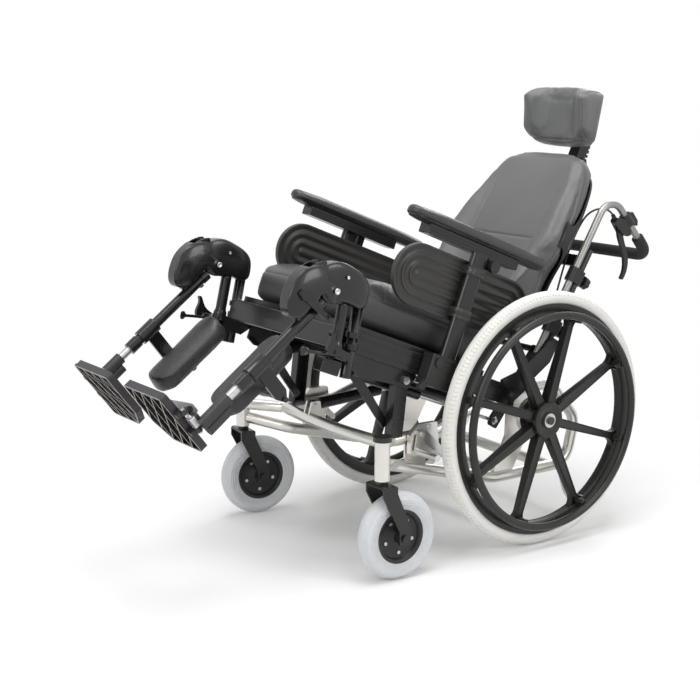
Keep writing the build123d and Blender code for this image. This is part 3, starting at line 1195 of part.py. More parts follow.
save("back_shell", back_shell())
save("back_cushion", back_cushion())
save("cane_clamps", cane_clamps())
save("push_bar", push_bar())
save("push_grip", push_grip())
save("lever_housings", lever_housings())
save_sides("brake_lever", brake_lever())
save("control_cables", control_cables())
save("headrest_bar", headrest_bar())
save("headrest_pad", headrest_pad())
save_sides("arm_post", arm_post())
save_sides("side_panel", side_panel())
save_sides("arm_pad", arm_pad())
save_sides("hanger", hanger())
save_sides("latch_lever", latch_lever())
save_sides("leg_tube", leg_tube())
save_sides("elevating_lever", elevating_lever())
save_sides("calf_pad", calf_pad())
save_sides("foot_tube", foot_tube())
save_sides("footplate", footplate())
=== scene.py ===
import math

import bmesh
import bpy
import numpy as np
from mathutils import Matrix, Vector


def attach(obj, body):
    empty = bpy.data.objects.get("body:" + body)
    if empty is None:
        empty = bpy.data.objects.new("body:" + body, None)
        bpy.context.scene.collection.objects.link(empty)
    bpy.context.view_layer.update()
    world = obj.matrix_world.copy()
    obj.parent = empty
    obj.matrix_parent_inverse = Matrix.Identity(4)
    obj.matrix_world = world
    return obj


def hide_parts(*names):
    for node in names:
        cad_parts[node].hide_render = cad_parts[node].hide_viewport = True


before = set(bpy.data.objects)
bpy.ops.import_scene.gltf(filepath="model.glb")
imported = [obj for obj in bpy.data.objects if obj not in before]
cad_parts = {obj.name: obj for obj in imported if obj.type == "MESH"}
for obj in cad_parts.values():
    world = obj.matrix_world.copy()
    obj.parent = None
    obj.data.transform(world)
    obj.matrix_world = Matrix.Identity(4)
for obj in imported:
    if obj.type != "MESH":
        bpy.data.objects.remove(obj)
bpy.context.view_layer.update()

MM = 0.001
SIDES = (("left", 1), ("right", -1))
WHEEL_X = 0.294              # mid plane of each rear wheel
CASTER_X = 0.293
CASTER_R = 0.1
CASTER_TRAIL = 0.0406
HANGER_X = 0.244             # mid plane of each leg rest
KNEE_HALF = 0.026            # half the thickness of a knee shell
HEAD_UP = 675                # middle of the headrest up the back, in millimetres

# the chair's own directions: seat (back, up), back (back, up), hanger, leg (down is -Z, shin side is -Y)
AXLE = Vector((0, 0.2584, 0.305))
SEAT = Matrix.Translation((0, AXLE.y - 0.358, 0.428)) @ Matrix.Rotation(math.radians(-21.5), 4, "X")
BACK = SEAT @ Matrix.Translation((0, 0.345, 0.095)) @ Matrix.Rotation(math.radians(-9.5), 4, "X")
HANGER = SEAT @ Matrix.Translation((0, -0.187, 0)) @ Matrix.Rotation(math.radians(9), 4, "X")
LEG = SEAT @ Matrix.Translation((0, -0.291, 0.129)) @ Matrix.Rotation(math.radians(-30.5), 4, "X")


def caster_axle(side):
    turn = math.radians(-0.5 if side > 0 else -7.4)
    swivel = Matrix.Translation((side * CASTER_X, AXLE.y - 0.473, 0)) @ Matrix.Rotation(turn, 4, "Z")
    return swivel @ Matrix.Translation((0, CASTER_TRAIL, CASTER_R))


# ---------------------------------------------------------------- shader maths
class Val:
    """One number of a shader, so that patterns can be written as sums."""

    def __init__(self, finish, socket):
        self.finish = finish
        self.socket = socket

    def calc(self, operation, *others, clamp=False):
        values = [self] + list(others)
        made = self.finish.node("ShaderNodeMath", {"operation": operation, "use_clamp": clamp},
                                dict(enumerate(values)))
        return Val(self.finish, made.outputs[0])

    def __add__(self, other):
        return self.calc("ADD", other)

    __radd__ = __add__

    def __mul__(self, other):
        return self.calc("MULTIPLY", other)

    __rmul__ = __mul__

    def __sub__(self, other):
        return self.calc("SUBTRACT", other)

    def __rsub__(self, other):
        return (self * -1.0) + other

    def wave(self):
        return self.calc("SINE")

    def size(self):
        return self.calc("ABSOLUTE")

    def above(self, edge, blur):
        """0 below the edge and 1 above it, over a soft width."""
        return ((self - (edge - blur / 2)) * (1 / blur)).calc("MAXIMUM", 0.0).calc("MINIMUM", 1.0)

    def limit(self):
        return self.calc("MAXIMUM", 0.0).calc("MINIMUM", 1.0)


class Finish:
    """A surface finish: one Principled shader and the pattern that feeds it."""

    def __init__(self, name, metallic=0.0, specular=0.5, coat=0.0, coat_roughness=0.2):
        self.material = bpy.data.materials.new(name)
        self.material.use_nodes = True
        self.tree = self.material.node_tree
        self.tree.nodes.clear()
        self.shader = self.node("ShaderNodeBsdfPrincipled", {}, {
            "Metallic": metallic, "Specular IOR Level": specular, "Coat Weight": coat,
            "Coat Roughness": coat_roughness})
        self.node("ShaderNodeOutputMaterial", {}, {"Surface": self.shader.outputs[0]})

    def node(self, kind, settings, values):
        made = self.tree.nodes.new(kind)
        for key, value in settings.items():
            if key == "stops":
                ramp = made.color_ramp.elements
                while len(ramp) < len(value):
                    ramp.new(0.5)
                for stop, (place, colour) in zip(ramp, value):
                    stop.position = place
                    stop.color = colour if len(colour) == 4 else (*colour, 1)
            else:
                setattr(made, key, value)
        for key, value in values.items():
            if isinstance(value, Val):
                self.tree.links.new(value.socket, made.inputs[key])
            elif isinstance(value, bpy.types.NodeSocket):
                self.tree.links.new(value, made.inputs[key])
            else:
                made.inputs[key].default_value = value
        return made

    def place(self, matrix=None):
        """Object coordinates, read along the chair's own directions where a matrix gives them."""
        point = self.node("ShaderNodeTexCoord", {}, {}).outputs["Object"]
        if matrix is None:
            return point
        away = matrix.inverted()
        turn = away.to_euler()
        return self.node("ShaderNodeMapping", {"vector_type": "POINT"}, {
            "Vector": point, "Location": away.translation, "Rotation": turn}).outputs[0]

    def parts(self, point):
        made = self.node("ShaderNodeSeparateXYZ", {}, {0: point})
        return [Val(self, socket) for socket in made.outputs]

    def noise(self, point, scale, detail=3.0, rough=0.55):
        made = self.node("ShaderNodeTexNoise", {}, {
            "Vector": point, "Scale": scale, "Detail": detail, "Roughness": rough})
        return Val(self, made.outputs[0])

    def cells(self, point, scale, feature="F1"):
        made = self.node("ShaderNodeTexVoronoi", {"feature": feature}, {"Vector": point, "Scale": scale})
        return Val(self, made.outputs[0])

    def stretched(self, point, scale):
        return self.node("ShaderNodeMapping", {}, {"Vector": point, "Scale": scale}).outputs[0]

    def blend(self, amount, low, high):
        """A colour between two colours."""
        made = self.node("ShaderNodeMix", {"data_type": "RGBA"}, {
            0: amount, 6: low if not isinstance(low, tuple) else (*low, 1),
            7: high if not isinstance(high, tuple) else (*high, 1)})
        return made.outputs[2]

    def colour(self, value):
        self.set("Base Color", (*value, 1) if isinstance(value, tuple) else value)

    def set(self, name, value):
        if isinstance(value, Val):
            value = value.socket
        if isinstance(value, bpy.types.NodeSocket):
            self.tree.links.new(value, self.shader.inputs[name])
        else:
            self.shader.inputs[name].default_value = value

    def bump(self, height, depth, strength=1.0):
        """Relief of that depth in metres, where height runs from 0 to 1."""
        made = self.node("ShaderNodeBump", {}, {
            "Height": height, "Distance": depth, "Strength": strength})
        self.tree.links.new(made.outputs[0], self.shader.inputs["Normal"])


# ---------------------------------------------------------------- finishes
def champagne_aluminium(name="champagne_aluminium", capped=False):
    f = Finish(name, specular=0.5)
    p = f.place()
    broad = f.noise(p, 9.0, 4.0)
    fine = f.noise(p, 900.0, 2.0)
    scuff = f.noise(p, 60.0, 6.0, 0.7).above(0.66, 0.1)
    bare = f.blend(broad, (0.66, 0.635, 0.595), (0.78, 0.76, 0.725))
    metallic = 0.82 - scuff * 0.25
    if capped:
        # the plastic cap on top of the caster's head tube
        across, back, up = f.parts(p)
        cap_foot, behind_head = 0.3195, AXLE.y - 0.436
        cap = up.above(cap_foot, 0.0006) * (1 - back.above(behind_head, 0.01))
        bare = f.blend(cap, bare, (0.012, 0.012, 0.012))
        metallic = metallic * (1 - cap)
    f.colour(bare)
    f.set("Metallic", metallic)
    f.set("Roughness", 0.24 + broad * 0.1 + scuff * 0.15)
    f.bump(fine, 0.00006)
    return f.material


def zinc_steel():
    f = Finish("zinc_steel", metallic=1.0)
    p = f.place()
    cloud = f.noise(p, 70.0, 5.0)
    fine = f.noise(p, 1500.0, 2.0)
    f.colour(f.blend(cloud, (0.50, 0.50, 0.49), (0.72, 0.72, 0.71)))
    f.set("Roughness", 0.2 + cloud * 0.2)
    f.bump(fine, 0.00003)
    return f.material


def black_coat(name="black_powder_coat", low=(0.007, 0.007, 0.007), high=(0.016, 0.0155, 0.015)):
    f = Finish(name, specular=0.34, coat=0.2, coat_roughness=0.1)
    p = f.place()
    peel = f.noise(p, 700.0, 2.0)
    cloud = f.noise(p, 14.0, 4.0)
    rub = f.noise(p, 45.0, 6.0, 0.7).above(0.7, 0.12)
    f.colour(f.blend((cloud * 0.8 + rub * 0.5).limit(), low, high))
    f.set("Roughness", 0.22 + cloud * 0.12 + rub * 0.15)
    f.bump(peel, 0.00008)
    return f.material


def moulded_black(name="moulded_black", low=(0.012, 0.012, 0.0122), high=(0.026, 0.025, 0.024), rough=0.3,
                 relief=None):
    f = Finish(name, specular=0.34)
    p = f.place()
    grain = f.cells(p, 1300.0)
    cloud = f.noise(p, 12.0, 4.0)
    dust = f.noise(p, 120.0, 5.0, 0.7).above(0.68, 0.15)
    f.colour(f.blend((cloud * 0.9 + dust * 0.4).limit(), low, high))
    f.set("Roughness", rough + cloud * 0.12 + dust * 0.12)
    if relief is None:
        f.bump(grain, 0.00008)
    else:
        f.bump(relief(f) + grain * 0.025, 0.0032)
    return f.material


def panel_ribs(f):
    """Rounded ribs that follow the side panel's long oval."""
    middle, straight_half, height, radius = 0.0675, 0.1375, 0.230, 0.070
    pitch, edge = 0.022, 0.003
    across, back, up = f.parts(f.place(SEAT))
    over = ((back - middle).size() - straight_half).calc("MAXIMUM", 0.0)
    rise = up - height
    inside = radius - (over * over + rise * rise).calc("SQRT")
    return ((inside - edge) * (2 * math.pi / pitch)).calc("COSINE") * 0.5 + 0.5


def gloss_black():
    """The smooth shells over the knees: glossy, with fine scratches."""
    f = Finish("gloss_black", specular=0.36, coat=0.3, coat_roughness=0.08)
    p = f.place()
    cloud = f.noise(p, 12.0, 4.0)
    scratch = f.noise(f.stretched(p, (1.0, 0.15, 1.0)), 420.0, 4.0, 0.7).above(0.68, 0.12)
    wear = (cloud * 0.8 + scratch * 0.4).limit()
    f.colour(f.blend(wear, (0.006, 0.006, 0.0062), (0.014, 0.0138, 0.0135)))
    f.set("Roughness", 0.2 + cloud * 0.08 + scratch * 0.2)
    f.bump(f.noise(p, 160.0, 2.0), 0.00025)
    return f.material


def gunmetal_tube():
    f = Finish("gunmetal_tube", specular=0.5)
    p = f.place()
    broad = f.noise(p, 8.0, 4.0)
    fine = f.noise(p, 1000.0, 2.0)
    f.colour(f.blend(broad, (0.24, 0.232, 0.22), (0.33, 0.322, 0.306)))
    f.set("Metallic", 0.75 + broad * 0.1)
    f.set("Roughness", 0.3 + broad * 0.14)
    f.bump(fine, 0.00006)
    return f.material


def vinyl(name="grey_vinyl", low=(0.083, 0.084, 0.0845), high=(0.117, 0.1175, 0.1175), rough=0.42):
    """Coated upholstery cloth: a pebbled grain, soft creases and a slight sheen."""
    f = Finish(name, specular=0.45)
    p = f.place()
    pebble = f.cells(p, 900.0, "DISTANCE_TO_EDGE")
    weave = f.noise(p, 1600.0, 2.0)
    crease = f.noise(f.stretched(p, (1.0, 2.0, 1.4)), 26.0, 5.0, 0.62)
    cloud = f.noise(p, 7.0, 3.0)
    f.colour(f.blend((cloud * 0.7 + crease * 0.4).limit(), low, high))
    f.set("Roughness", rough + crease * 0.14 - cloud * 0.06)
    f.bump(pebble * 0.8 + weave * 0.25 + crease * 1.6, 0.00035)
    return f.material


def off_white_tyre():
    f = Finish("off_white_tyre", specular=0.3)
    p = f.place()
    grime = f.noise(p, 30.0, 6.0, 0.65)
    cloud = f.noise(p, 5.0, 3.0)
    fine = f.noise(p, 1200.0, 2.0)
    marks = f.noise(p, 130.0, 5.0, 0.7).above(0.7, 0.16)
    f.colour(f.blend((grime * 0.5 + marks * 0.4).limit(), (0.80, 0.79, 0.76), (0.60, 0.585, 0.55)))
    f.set("Roughness", 0.5 + cloud * 0.16)
    # short lugs along both shoulders of the tread
    across, back, up = f.parts(p)
    level = up - AXLE.z
    behind = back - AXLE.y
    turn = level.calc("ARCTAN2", behind)
    radius = (level * level + behind * behind).calc("SQRT")
    side = (across.size() - WHEEL_X).size()
    lug = (turn * TREAD_LUGS).wave().above(0.1, 0.7)
    shoulder = side.above(0.0075, 0.001) * (1 - side.above(0.0155, 0.001)) * radius.above(0.288, 0.002)
    f.bump(fine * 0.05 + lug * shoulder, 0.0016)
    return f.material


def caster_rubber():
    f = Finish("caster_rubber", specular=0.3)
    p = f.place()
    grime = f.noise(p, 40.0, 6.0, 0.65)
    fine = f.noise(p, 1300.0, 2.0)
    f.colour(f.blend(grime, (0.68, 0.70, 0.725), (0.53, 0.545, 0.565)))
    f.set("Roughness", 0.5 + grime * 0.14)
    f.bump(fine, 0.00008)
    return f.material


def grip_foam():
    f = Finish("grip_foam", specular=0.25)
    p = f.place()
    pores = f.cells(p, 850.0)
    cloud = f.noise(p, 30.0, 4.0)
    f.colour(f.blend(cloud, (0.02, 0.02, 0.02), (0.038, 0.037, 0.036)))
    f.set("Roughness", 0.75 + pores * 0.15)
    f.bump(pores, 0.0006)
    return f.material


def cable_cover():
    f = Finish("cable_cover", specular=0.5)
    p = f.place()
    cloud = f.noise(p, 90.0, 3.0)
    f.colour(f.blend(cloud, (0.016, 0.016, 0.016), (0.03, 0.03, 0.03)))
    f.set("Roughness", 0.34 + cloud * 0.12)
    f.bump(f.noise(p, 1400.0, 2.0), 0.00005)
    return f.material


def two_part(name, mask_of, dark=(0.018, 0.018, 0.018), bright=(0.62, 0.61, 0.6)):
    """A black piece with bright metal where its mask is 1, such as a fork and its axle nuts."""
    f = Finish(name, specular=0.5)
    p = f.place()
    mask = mask_of(f, p)
    cloud = f.noise(p, 40.0, 4.0)
    grain = f.noise(p, 800.0, 2.0)
    black = f.blend(cloud, tuple(c * 0.8 for c in dark), tuple(c * 1.5 for c in dark))
    metal = f.blend(cloud, tuple(c * 0.85 for c in bright), bright)
    f.colour(f.blend(mask, black, metal))
    f.set("Metallic", mask)
    f.set("Roughness", 0.36 + cloud * 0.1 - mask * 0.12)
    f.bump(grain, 0.0001)
    return f.material


def lower_leg_mask(f, p):
    """Bright inner tube of the leg rest, a black sleeve, and bright steel again at the hinge."""
    sleeve_top, sleeve_foot = -0.3195, -0.3982
    across, shin, down = f.parts(f.place(LEG))
    return down.above(sleeve_top, 0.0005) + (1 - down.above(sleeve_foot, 0.0004))


def footplate_black():
    f = Finish("footplate_black", specular=0.5)
    p = f.place()
    across, shin, down = f.parts(f.place(LEG))
    across = across.size()
    rib_foot, plate_top, bracket_in, bracket_out = -0.4222, -0.4046, 0.1965, 0.2074
    # edges marks the ribs' lower edges, which get a pale colour: painted highlights along the rib edges
    edges = 1 - down.above(rib_foot, 0.0008)
    cast = across.above(bracket_in, 0.0006) * (1 - across.above(bracket_out, 0.0004))
    cast = cast * down.above(plate_top, 0.0008)
    cloud = f.noise(p, 16.0, 4.0)
    scuff = f.noise(p, 90.0, 5.0, 0.7)
    black = f.blend(cloud, (0.014, 0.012, 0.0145), (0.028, 0.025, 0.028))
    # light is the pale colour of those painted rib-edge highlights
    light = f.blend(scuff, (0.34, 0.31, 0.27), (0.14, 0.13, 0.12))
    grey = f.blend(scuff, (0.23, 0.235, 0.235), (0.33, 0.335, 0.33))
    f.colour(f.blend(cast, f.blend(edges, black, light), grey))
    f.set("Roughness", 0.34 + scuff * 0.14)
    f.bump(f.cells(p, 1300.0), 0.00009)
    return f.material


def axle_mask(f, p):
    """Bright flange, black push button."""
    flange_face = 0.3185
    across, back, up = f.parts(p)
    return 1 - across.size().above(flange_face, 0.0004)


TREAD_LUGS = 190

ALUMINIUM = champagne_aluminium()
FRAME_ALUMINIUM = champagne_aluminium("frame_aluminium", True)
ZINC = zinc_steel()
BLACK_COAT = black_coat()
GLOSS = gloss_black()
MOULDED = moulded_black()
PANEL = moulded_black("panel_black", (0.022, 0.0215, 0.0205), (0.044, 0.042, 0.0395), 0.24, panel_ribs)
GUNMETAL = gunmetal_tube()
VINYL = vinyl()
# the seat's cover is the back's grey vinyl made darker: painted shade over the seat
SEAT_VINYL_PAINTED_SHADE = vinyl("seat_vinyl", (0.036, 0.036, 0.0365), (0.056, 0.056, 0.0555), 0.32)
HEAD_VINYL = vinyl("headrest_vinyl", (0.086, 0.088, 0.09), (0.125, 0.127, 0.128), 0.3)
PAD_SKIN = vinyl("pad_skin", (0.014, 0.014, 0.0145), (0.024, 0.024, 0.0245), 0.26)
TYRE = off_white_tyre()
CASTER_RUBBER = caster_rubber()
FOAM = grip_foam()
CABLE = cable_cover()
WHEEL_BLACK = moulded_black("wheel_black", (0.013, 0.0127, 0.012), (0.028, 0.027, 0.0255), 0.22)
FOOT_BLACK = footplate_black()
LEG_PARTS = two_part("lower_leg_parts", lower_leg_mask)
AXLE_PARTS = two_part("axle_parts", axle_mask)

FINISH_OF = {
    "cross_members": ALUMINIUM, "side_frame": FRAME_ALUMINIUM, "anti_tippers": ALUMINIUM,
    "tilt_posts": BLACK_COAT, "axle_sets": AXLE_PARTS, "wheel_lock_plates": ALUMINIUM,
    "wheel_lock_lever": ZINC, "seat_rails": BLACK_COAT, "seat_pan": BLACK_COAT,
    "arm_sockets": MOULDED, "hanger_brackets": BLACK_COAT, "seat_stays": BLACK_COAT,
    "tilt_bolts": ZINC, "tilt_cylinder": BLACK_COAT, "tilt_rod": ZINC,
    "recline_cylinder": BLACK_COAT, "recline_rod": ZINC, "back_frame": BLACK_COAT,
    "back_shell": MOULDED, "cane_clamps": MOULDED, "push_bar": GUNMETAL, "push_grip": FOAM,
    "lever_housings": MOULDED, "control_cables": CABLE, "headrest_bar": BLACK_COAT,
    "rear_wheel": WHEEL_BLACK, "caster_fork": BLACK_COAT, "arm_post": BLACK_COAT,
    "side_panel": PANEL, "hanger": GLOSS, "latch_lever": GLOSS, "leg_tube": GLOSS,
    "elevating_lever": MOULDED, "foot_tube": LEG_PARTS, "footplate": FOOT_BLACK,
    "brake_lever": MOULDED, "seat_cushion": SEAT_VINYL_PAINTED_SHADE, "back_cushion": VINYL, "headrest_pad": HEAD_VINYL,
    "arm_pad": PAD_SKIN, "calf_pad": PAD_SKIN, "rear_tyre": TYRE, "caster_wheel": CASTER_RUBBER,
}


def dress_frame():
    """Every carried-over solid gets its finish."""
    for name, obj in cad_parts.items():
        kind = name.replace("_left", "").replace("_right", "")
        finish = FINISH_OF[kind]
        if not obj.material_slots:
            obj.data.materials.append(finish)
        for slot in obj.material_slots:
            slot.material = finish


# ---------------------------------------------------------------- modelling
def nothing_selected():
    if bpy.context.object and bpy.context.object.mode != "OBJECT":
        bpy.ops.object.mode_set(mode="OBJECT")
    bpy.ops.object.select_all(action="DESELECT")


def only(obj):
    nothing_selected()
    bpy.context.view_layer.objects.active = obj
    obj.select_set(True)


def edit(obj):
    only(obj)
    bpy.ops.object.mode_set(mode="EDIT")
    bpy.ops.mesh.select_mode(type="VERT")


def done(obj):
    bpy.ops.object.mode_set(mode="OBJECT")
    return obj


def select(obj, kind, test):
    """In edit mode, selects the faces, edges or vertices whose middle passes the test."""
    bpy.ops.mesh.select_all(action="DESELECT")
    bpy.ops.mesh.select_mode(type=kind)
    shape = bmesh.from_edit_mesh(obj.data)
    things = {"FACE": shape.faces, "EDGE": shape.edges, "VERT": shape.verts}[kind]
    for thing in things:
        if kind == "FACE":
            chosen = test(thing.calc_center_median(), thing.normal)
        elif kind == "EDGE":
            chosen = test((thing.verts[0].co + thing.verts[1].co) / 2, thing)
        else:
            chosen = test(thing.co, thing)
        thing.select_set(bool(chosen))
    shape.select_flush_mode()
    bmesh.update_edit_mesh(obj.data)


def settle(obj, matrix=None, smooth=35):
    """Leaves the object at the origin, with its place in its mesh."""
    only(obj)
    bpy.ops.object.transform_apply(location=True, rotation=True, scale=True)
    if matrix is not None:
        obj.data.transform(matrix)
    if smooth:
        bpy.ops.object.shade_smooth_by_angle(angle=math.radians(smooth))
    return obj


def apply_all(obj):
    only(obj)
    for modifier in list(obj.modifiers):
        bpy.ops.object.modifier_apply(modifier=modifier.name)
    return obj


def copy_of(obj, name, matrix=None):
    only(obj)
    bpy.ops.object.duplicate()
    made = bpy.context.object
    made.name = name
    if matrix is not None:
        made.data.transform(matrix)
        if matrix.determinant() < 0:
            made.data.flip_normals()
    return made


def finish_piece(obj, body, material):
    if not obj.data.materials:
        obj.data.materials.append(material)
    for place in obj.material_slots:
        place.material = material
    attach(obj, body)
    return obj


def turned_profile(name, profile, steps, closed=True):
    """Spins a profile of (radius, height) points about Z."""
    nothing_selected()
    bpy.ops.mesh.primitive_plane_add(size=0.002)
    obj = bpy.context.object
    obj.name = name
    edit(obj)
    bpy.ops.mesh.select_all(action="SELECT")
    bpy.ops.mesh.merge(type="CENTER")
    r, z = profile[0]
    bpy.ops.transform.translate(value=(r, 0, z))
    for r2, z2 in profile[1:] + ([profile[0]] if closed else []):
        bpy.ops.mesh.extrude_vertices_move(TRANSFORM_OT_translate={"value": (r2 - r, 0, z2 - z)})
        r, z = r2, z2
    bpy.ops.mesh.select_all(action="SELECT")
    bpy.ops.mesh.remove_doubles(threshold=1e-6)
    bpy.ops.mesh.spin(steps=steps, angle=2 * math.pi, center=(0, 0, 0), axis=(0, 0, 1))
    bpy.ops.mesh.select_all(action="SELECT")
    bpy.ops.mesh.remove_doubles(threshold=1e-6)
    bpy.ops.mesh.normals_make_consistent(inside=False)
    return done(obj)


MIRROR = Matrix.Scale(-1, 4, (1, 0, 0))


# ---------------------------------------------------------------- studio
def seen_white(tree):
    """1 for rays from the camera, or by a mirror or glass, which see a white room."""
    path = tree.nodes.new("ShaderNodeLightPath")
    factor = path.outputs["Is Camera Ray"]
    for kind in ("Is Glossy Ray", "Is Transmission Ray"):
        either = tree.nodes.new("ShaderNodeMath")
        either.operation = "MAXIMUM"
        tree.links.new(factor, either.inputs[0])
        tree.links.new(path.outputs[kind], either.inputs[1])
        factor = either.outputs[0]
    return factor


def mixed(tree, factor, first, second, target):
    """Sends one of two shaders to the output, by that factor."""
    mix = tree.nodes.new("ShaderNodeMixShader")
    out = tree.nodes.new(target)
    tree.links.new(factor, mix.inputs[0])
    tree.links.new(first.outputs[0], mix.inputs[1])
    tree.links.new(second.outputs[0], mix.inputs[2])
    tree.links.new(mix.outputs[0], out.inputs[0])


def room_light():
    world = bpy.data.worlds.new("studio")
    bpy.context.scene.world = world
    world.use_nodes = True
    tree = world.node_tree
    tree.nodes.clear()
    fill = tree.nodes.new("ShaderNodeBackground")
    fill.inputs["Color"].default_value = (1.0, 0.995, 0.985, 1)
    fill.inputs["Strength"].default_value = 0.40
    white = tree.nodes.new("ShaderNodeBackground")
    white.inputs["Color"].default_value = (1, 1, 1, 1)
    white.inputs["Strength"].default_value = 1.0
    mixed(tree, seen_white(tree), fill, white, "ShaderNodeOutputWorld")


def studio_floor():
    """A pale floor that keeps the shadow near the chair and turns white further out."""
    nothing_selected()
    bpy.ops.mesh.primitive_circle_add(vertices=64, radius=14, fill_type="NGON", location=(0, 0, 0))
    floor = bpy.context.object
    floor.name = "floor"
    material = bpy.data.materials.new("studio_floor")
    material.use_nodes = True
    tree = material.node_tree
    tree.nodes.clear()
    coords = tree.nodes.new("ShaderNodeTexCoord")
    reach = tree.nodes.new("ShaderNodeVectorMath")
    reach.operation = "LENGTH"
    far = tree.nodes.new("ShaderNodeMapRange")
    far.inputs["From Min"].default_value = 0.55
    far.inputs["From Max"].default_value = 1.5
    far.inputs["To Min"].default_value = 0.1
    far.inputs["To Max"].default_value = 1.0
    amount = tree.nodes.new("ShaderNodeMath")
    amount.operation = "MULTIPLY"
    matt = tree.nodes.new("ShaderNodeBsdfDiffuse")
    matt.inputs["Color"].default_value = (0.93, 0.93, 0.93, 1)
    glow = tree.nodes.new("ShaderNodeEmission")
    glow.inputs["Strength"].default_value = 1.0
    tree.links.new(coords.outputs["Object"], reach.inputs[0])
    tree.links.new(reach.outputs["Value"], far.inputs["Value"])
    tree.links.new(far.outputs[0], amount.inputs[0])
    tree.links.new(seen_white(tree), amount.inputs[1])
    mixed(tree, amount.outputs[0], matt, glow, "ShaderNodeOutputMaterial")
    floor.data.materials.append(material)


def softbox(name, place, target, size, power):
    light = bpy.data.lights.new(name, "AREA")
    light.shape = "RECTANGLE"
    light.size, light.size_y = size
    light.energy = power
    obj = bpy.data.objects.new(name, light)
    bpy.context.scene.collection.objects.link(obj)
    obj.location = place
    way = Vector(target) - Vector(place)
    obj.rotation_euler = way.to_track_quat("-Z", "Y").to_euler()


def studio():
    bpy.context.scene.view_settings.view_transform = "Standard"
    room_light()
    studio_floor()
    softbox("overhead", (0.2, -0.2, 3.2), (0, 0, 0), (2.4, 2.4), 88)
    softbox("front_left", (1.2, -3.2, 2.2), (0, 0, 0.5), (1.3, 1.7), 36)
    softbox("near_side", (3.4, 1.2, 2.0), (0, 0.1, 0.5), (1.4, 1.7), 34)
    softbox("rim_back", (-1.6, 3.0, 2.4), (0, 0.2, 0.6), (1.5, 1.5), 28)


def photo_camera():
    """Stands where the photograph was taken from."""
    stand = Vector((2.621, AXLE.y - 2.219, 1.098))
    azimuth, elevation, roll = (math.radians(a) for a in (54.548, 11.217, 0.434))
    ahead = Vector((-math.sin(azimuth) * math.cos(elevation), math.cos(azimuth) * math.cos(elevation),
                    -math.sin(elevation)))
    level = ahead.cross(Vector((0, 0, 1))).normalized()
    over = level.cross(ahead)
    right = math.cos(roll) * level + math.sin(roll) * over
    up = -math.sin(roll) * level + math.cos(roll) * over
    data = bpy.data.cameras.new("photo_camera")
    data.sensor_width = 36
    data.lens = 71.25
    data.clip_end = 60
    camera = bpy.data.objects.new("photo_camera", data)
    bpy.context.scene.collection.objects.link(camera)
    camera.matrix_world = Matrix((
        (right.x, up.x, -ahead.x, stand.x), (right.y, up.y, -ahead.y, stand.y),
        (right.z, up.z, -ahead.z, stand.z), (0, 0, 0, 1)))
    bpy.context.scene.camera = camera


photo_camera()
studio()
dress_frame()


# ---------------------------------------------------------------- brake cables
# along the back's own directions, in millimetres: across, back and up
CABLE_ROUTE = [(200, 67.88, 476.06), (200, 43.21, 484.27), (160, 26, 462.06), (150, 25, 400.06),
               (160, 26, 300.06), (188.2, 27.7, 186)]
CABLE_RADIUS = 0.0025


def brake_cables():
    """Each cable runs in behind the shell from its lever's housing, then down to a stop on the bar."""
    for word, side in SIDES:
        route = [BACK @ Vector((side * x * MM, t * MM, w * MM)) for x, t, w in CABLE_ROUTE]
        curve = bpy.data.curves.new("brake_cable_" + word, "CURVE")
        curve.dimensions = "3D"
        line = curve.splines.new("NURBS")
        line.points.add(len(route) - 1)
        for point, place in zip(line.points, route):
            point.co = (*place, 1)
        line.order_u = 3
        line.use_endpoint_u = True
        curve.resolution_u = 16
        curve.bevel_depth = CABLE_RADIUS
        curve.bevel_resolution = 4
        curve.use_fill_caps = True
        cable = bpy.data.objects.new("brake_cable_" + word, curve)
        bpy.context.scene.collection.objects.link(cable)
        finish_piece(cable, "push", CABLE)
        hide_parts("control_cables")


# ---------------------------------------------------------------- padded pieces
STUFFING_STEPS = 20


def soft_copy(node, name, voxel, shrink, cap, rounds=4):
    """A stuffed cover blown up from a CAD solid: remeshed, inflated as cloth, then smoothed."""
    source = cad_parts[node]
    only(source)
    bpy.ops.object.duplicate()
    obj = bpy.context.object
    obj.name = name
    obj.parent = None
    obj.matrix_world = Matrix.Identity(4)
    obj.data.materials.clear()
    edit(obj)
    bpy.ops.mesh.select_all(action="SELECT")
    bpy.ops.mesh.remove_doubles(threshold=1e-5)
    done(obj)
    remesh = obj.modifiers.new("remesh", "REMESH")
    remesh.mode = "VOXEL"
    remesh.voxel_size = voxel
    apply_all(obj)
    count = len(obj.data.vertices)
    start = np.empty(count * 3)
    obj.data.vertices.foreach_get("co", start)
    start = start.reshape(-1, 3)
    normals = np.empty(count * 3)
    obj.data.vertices.foreach_get("normal", normals)
    start = start - normals.reshape(-1, 3) * shrink
    obj.data.vertices.foreach_set("co", start.ravel())
    cloth = obj.modifiers.new("stuffing", "CLOTH")
    cloth.settings.quality = 5
    cloth.settings.mass = 0.3
    cloth.settings.tension_stiffness = 40
    cloth.settings.compression_stiffness = 40
    cloth.settings.shear_stiffness = 20
    cloth.settings.bending_stiffness = 0.6
    cloth.settings.use_pressure = True
    cloth.settings.uniform_pressure_force = 4.0
    cloth.settings.effector_weights.gravity = 0.0
    cloth.collision_settings.use_collision = False
    cloth.point_cache.frame_start = 1
    cloth.point_cache.frame_end = STUFFING_STEPS
    for step in range(1, STUFFING_STEPS + 1):
        bpy.context.scene.frame_set(step)
    apply_all(obj)
    moved = np.empty(count * 3)
    obj.data.vertices.foreach_get("co", moved)
    moved = moved.reshape(-1, 3) - start
    far = np.linalg.norm(moved, axis=1)
    scale = np.where(far > cap, cap / np.maximum(far, 1e-9), 1.0)
    obj.data.vertices.foreach_set("co", (start + moved * scale[:, None]).ravel())
    bpy.context.scene.frame_set(1)
    smooth = obj.modifiers.new("smooth", "SMOOTH")
    smooth.factor = 0.5
    smooth.iterations = rounds
    fine = obj.modifiers.new("fine", "SUBSURF")
    fine.levels = 1
    fine.render_levels = 1
    apply_all(obj)
    only(obj)
    bpy.ops.object.shade_smooth()
    return obj


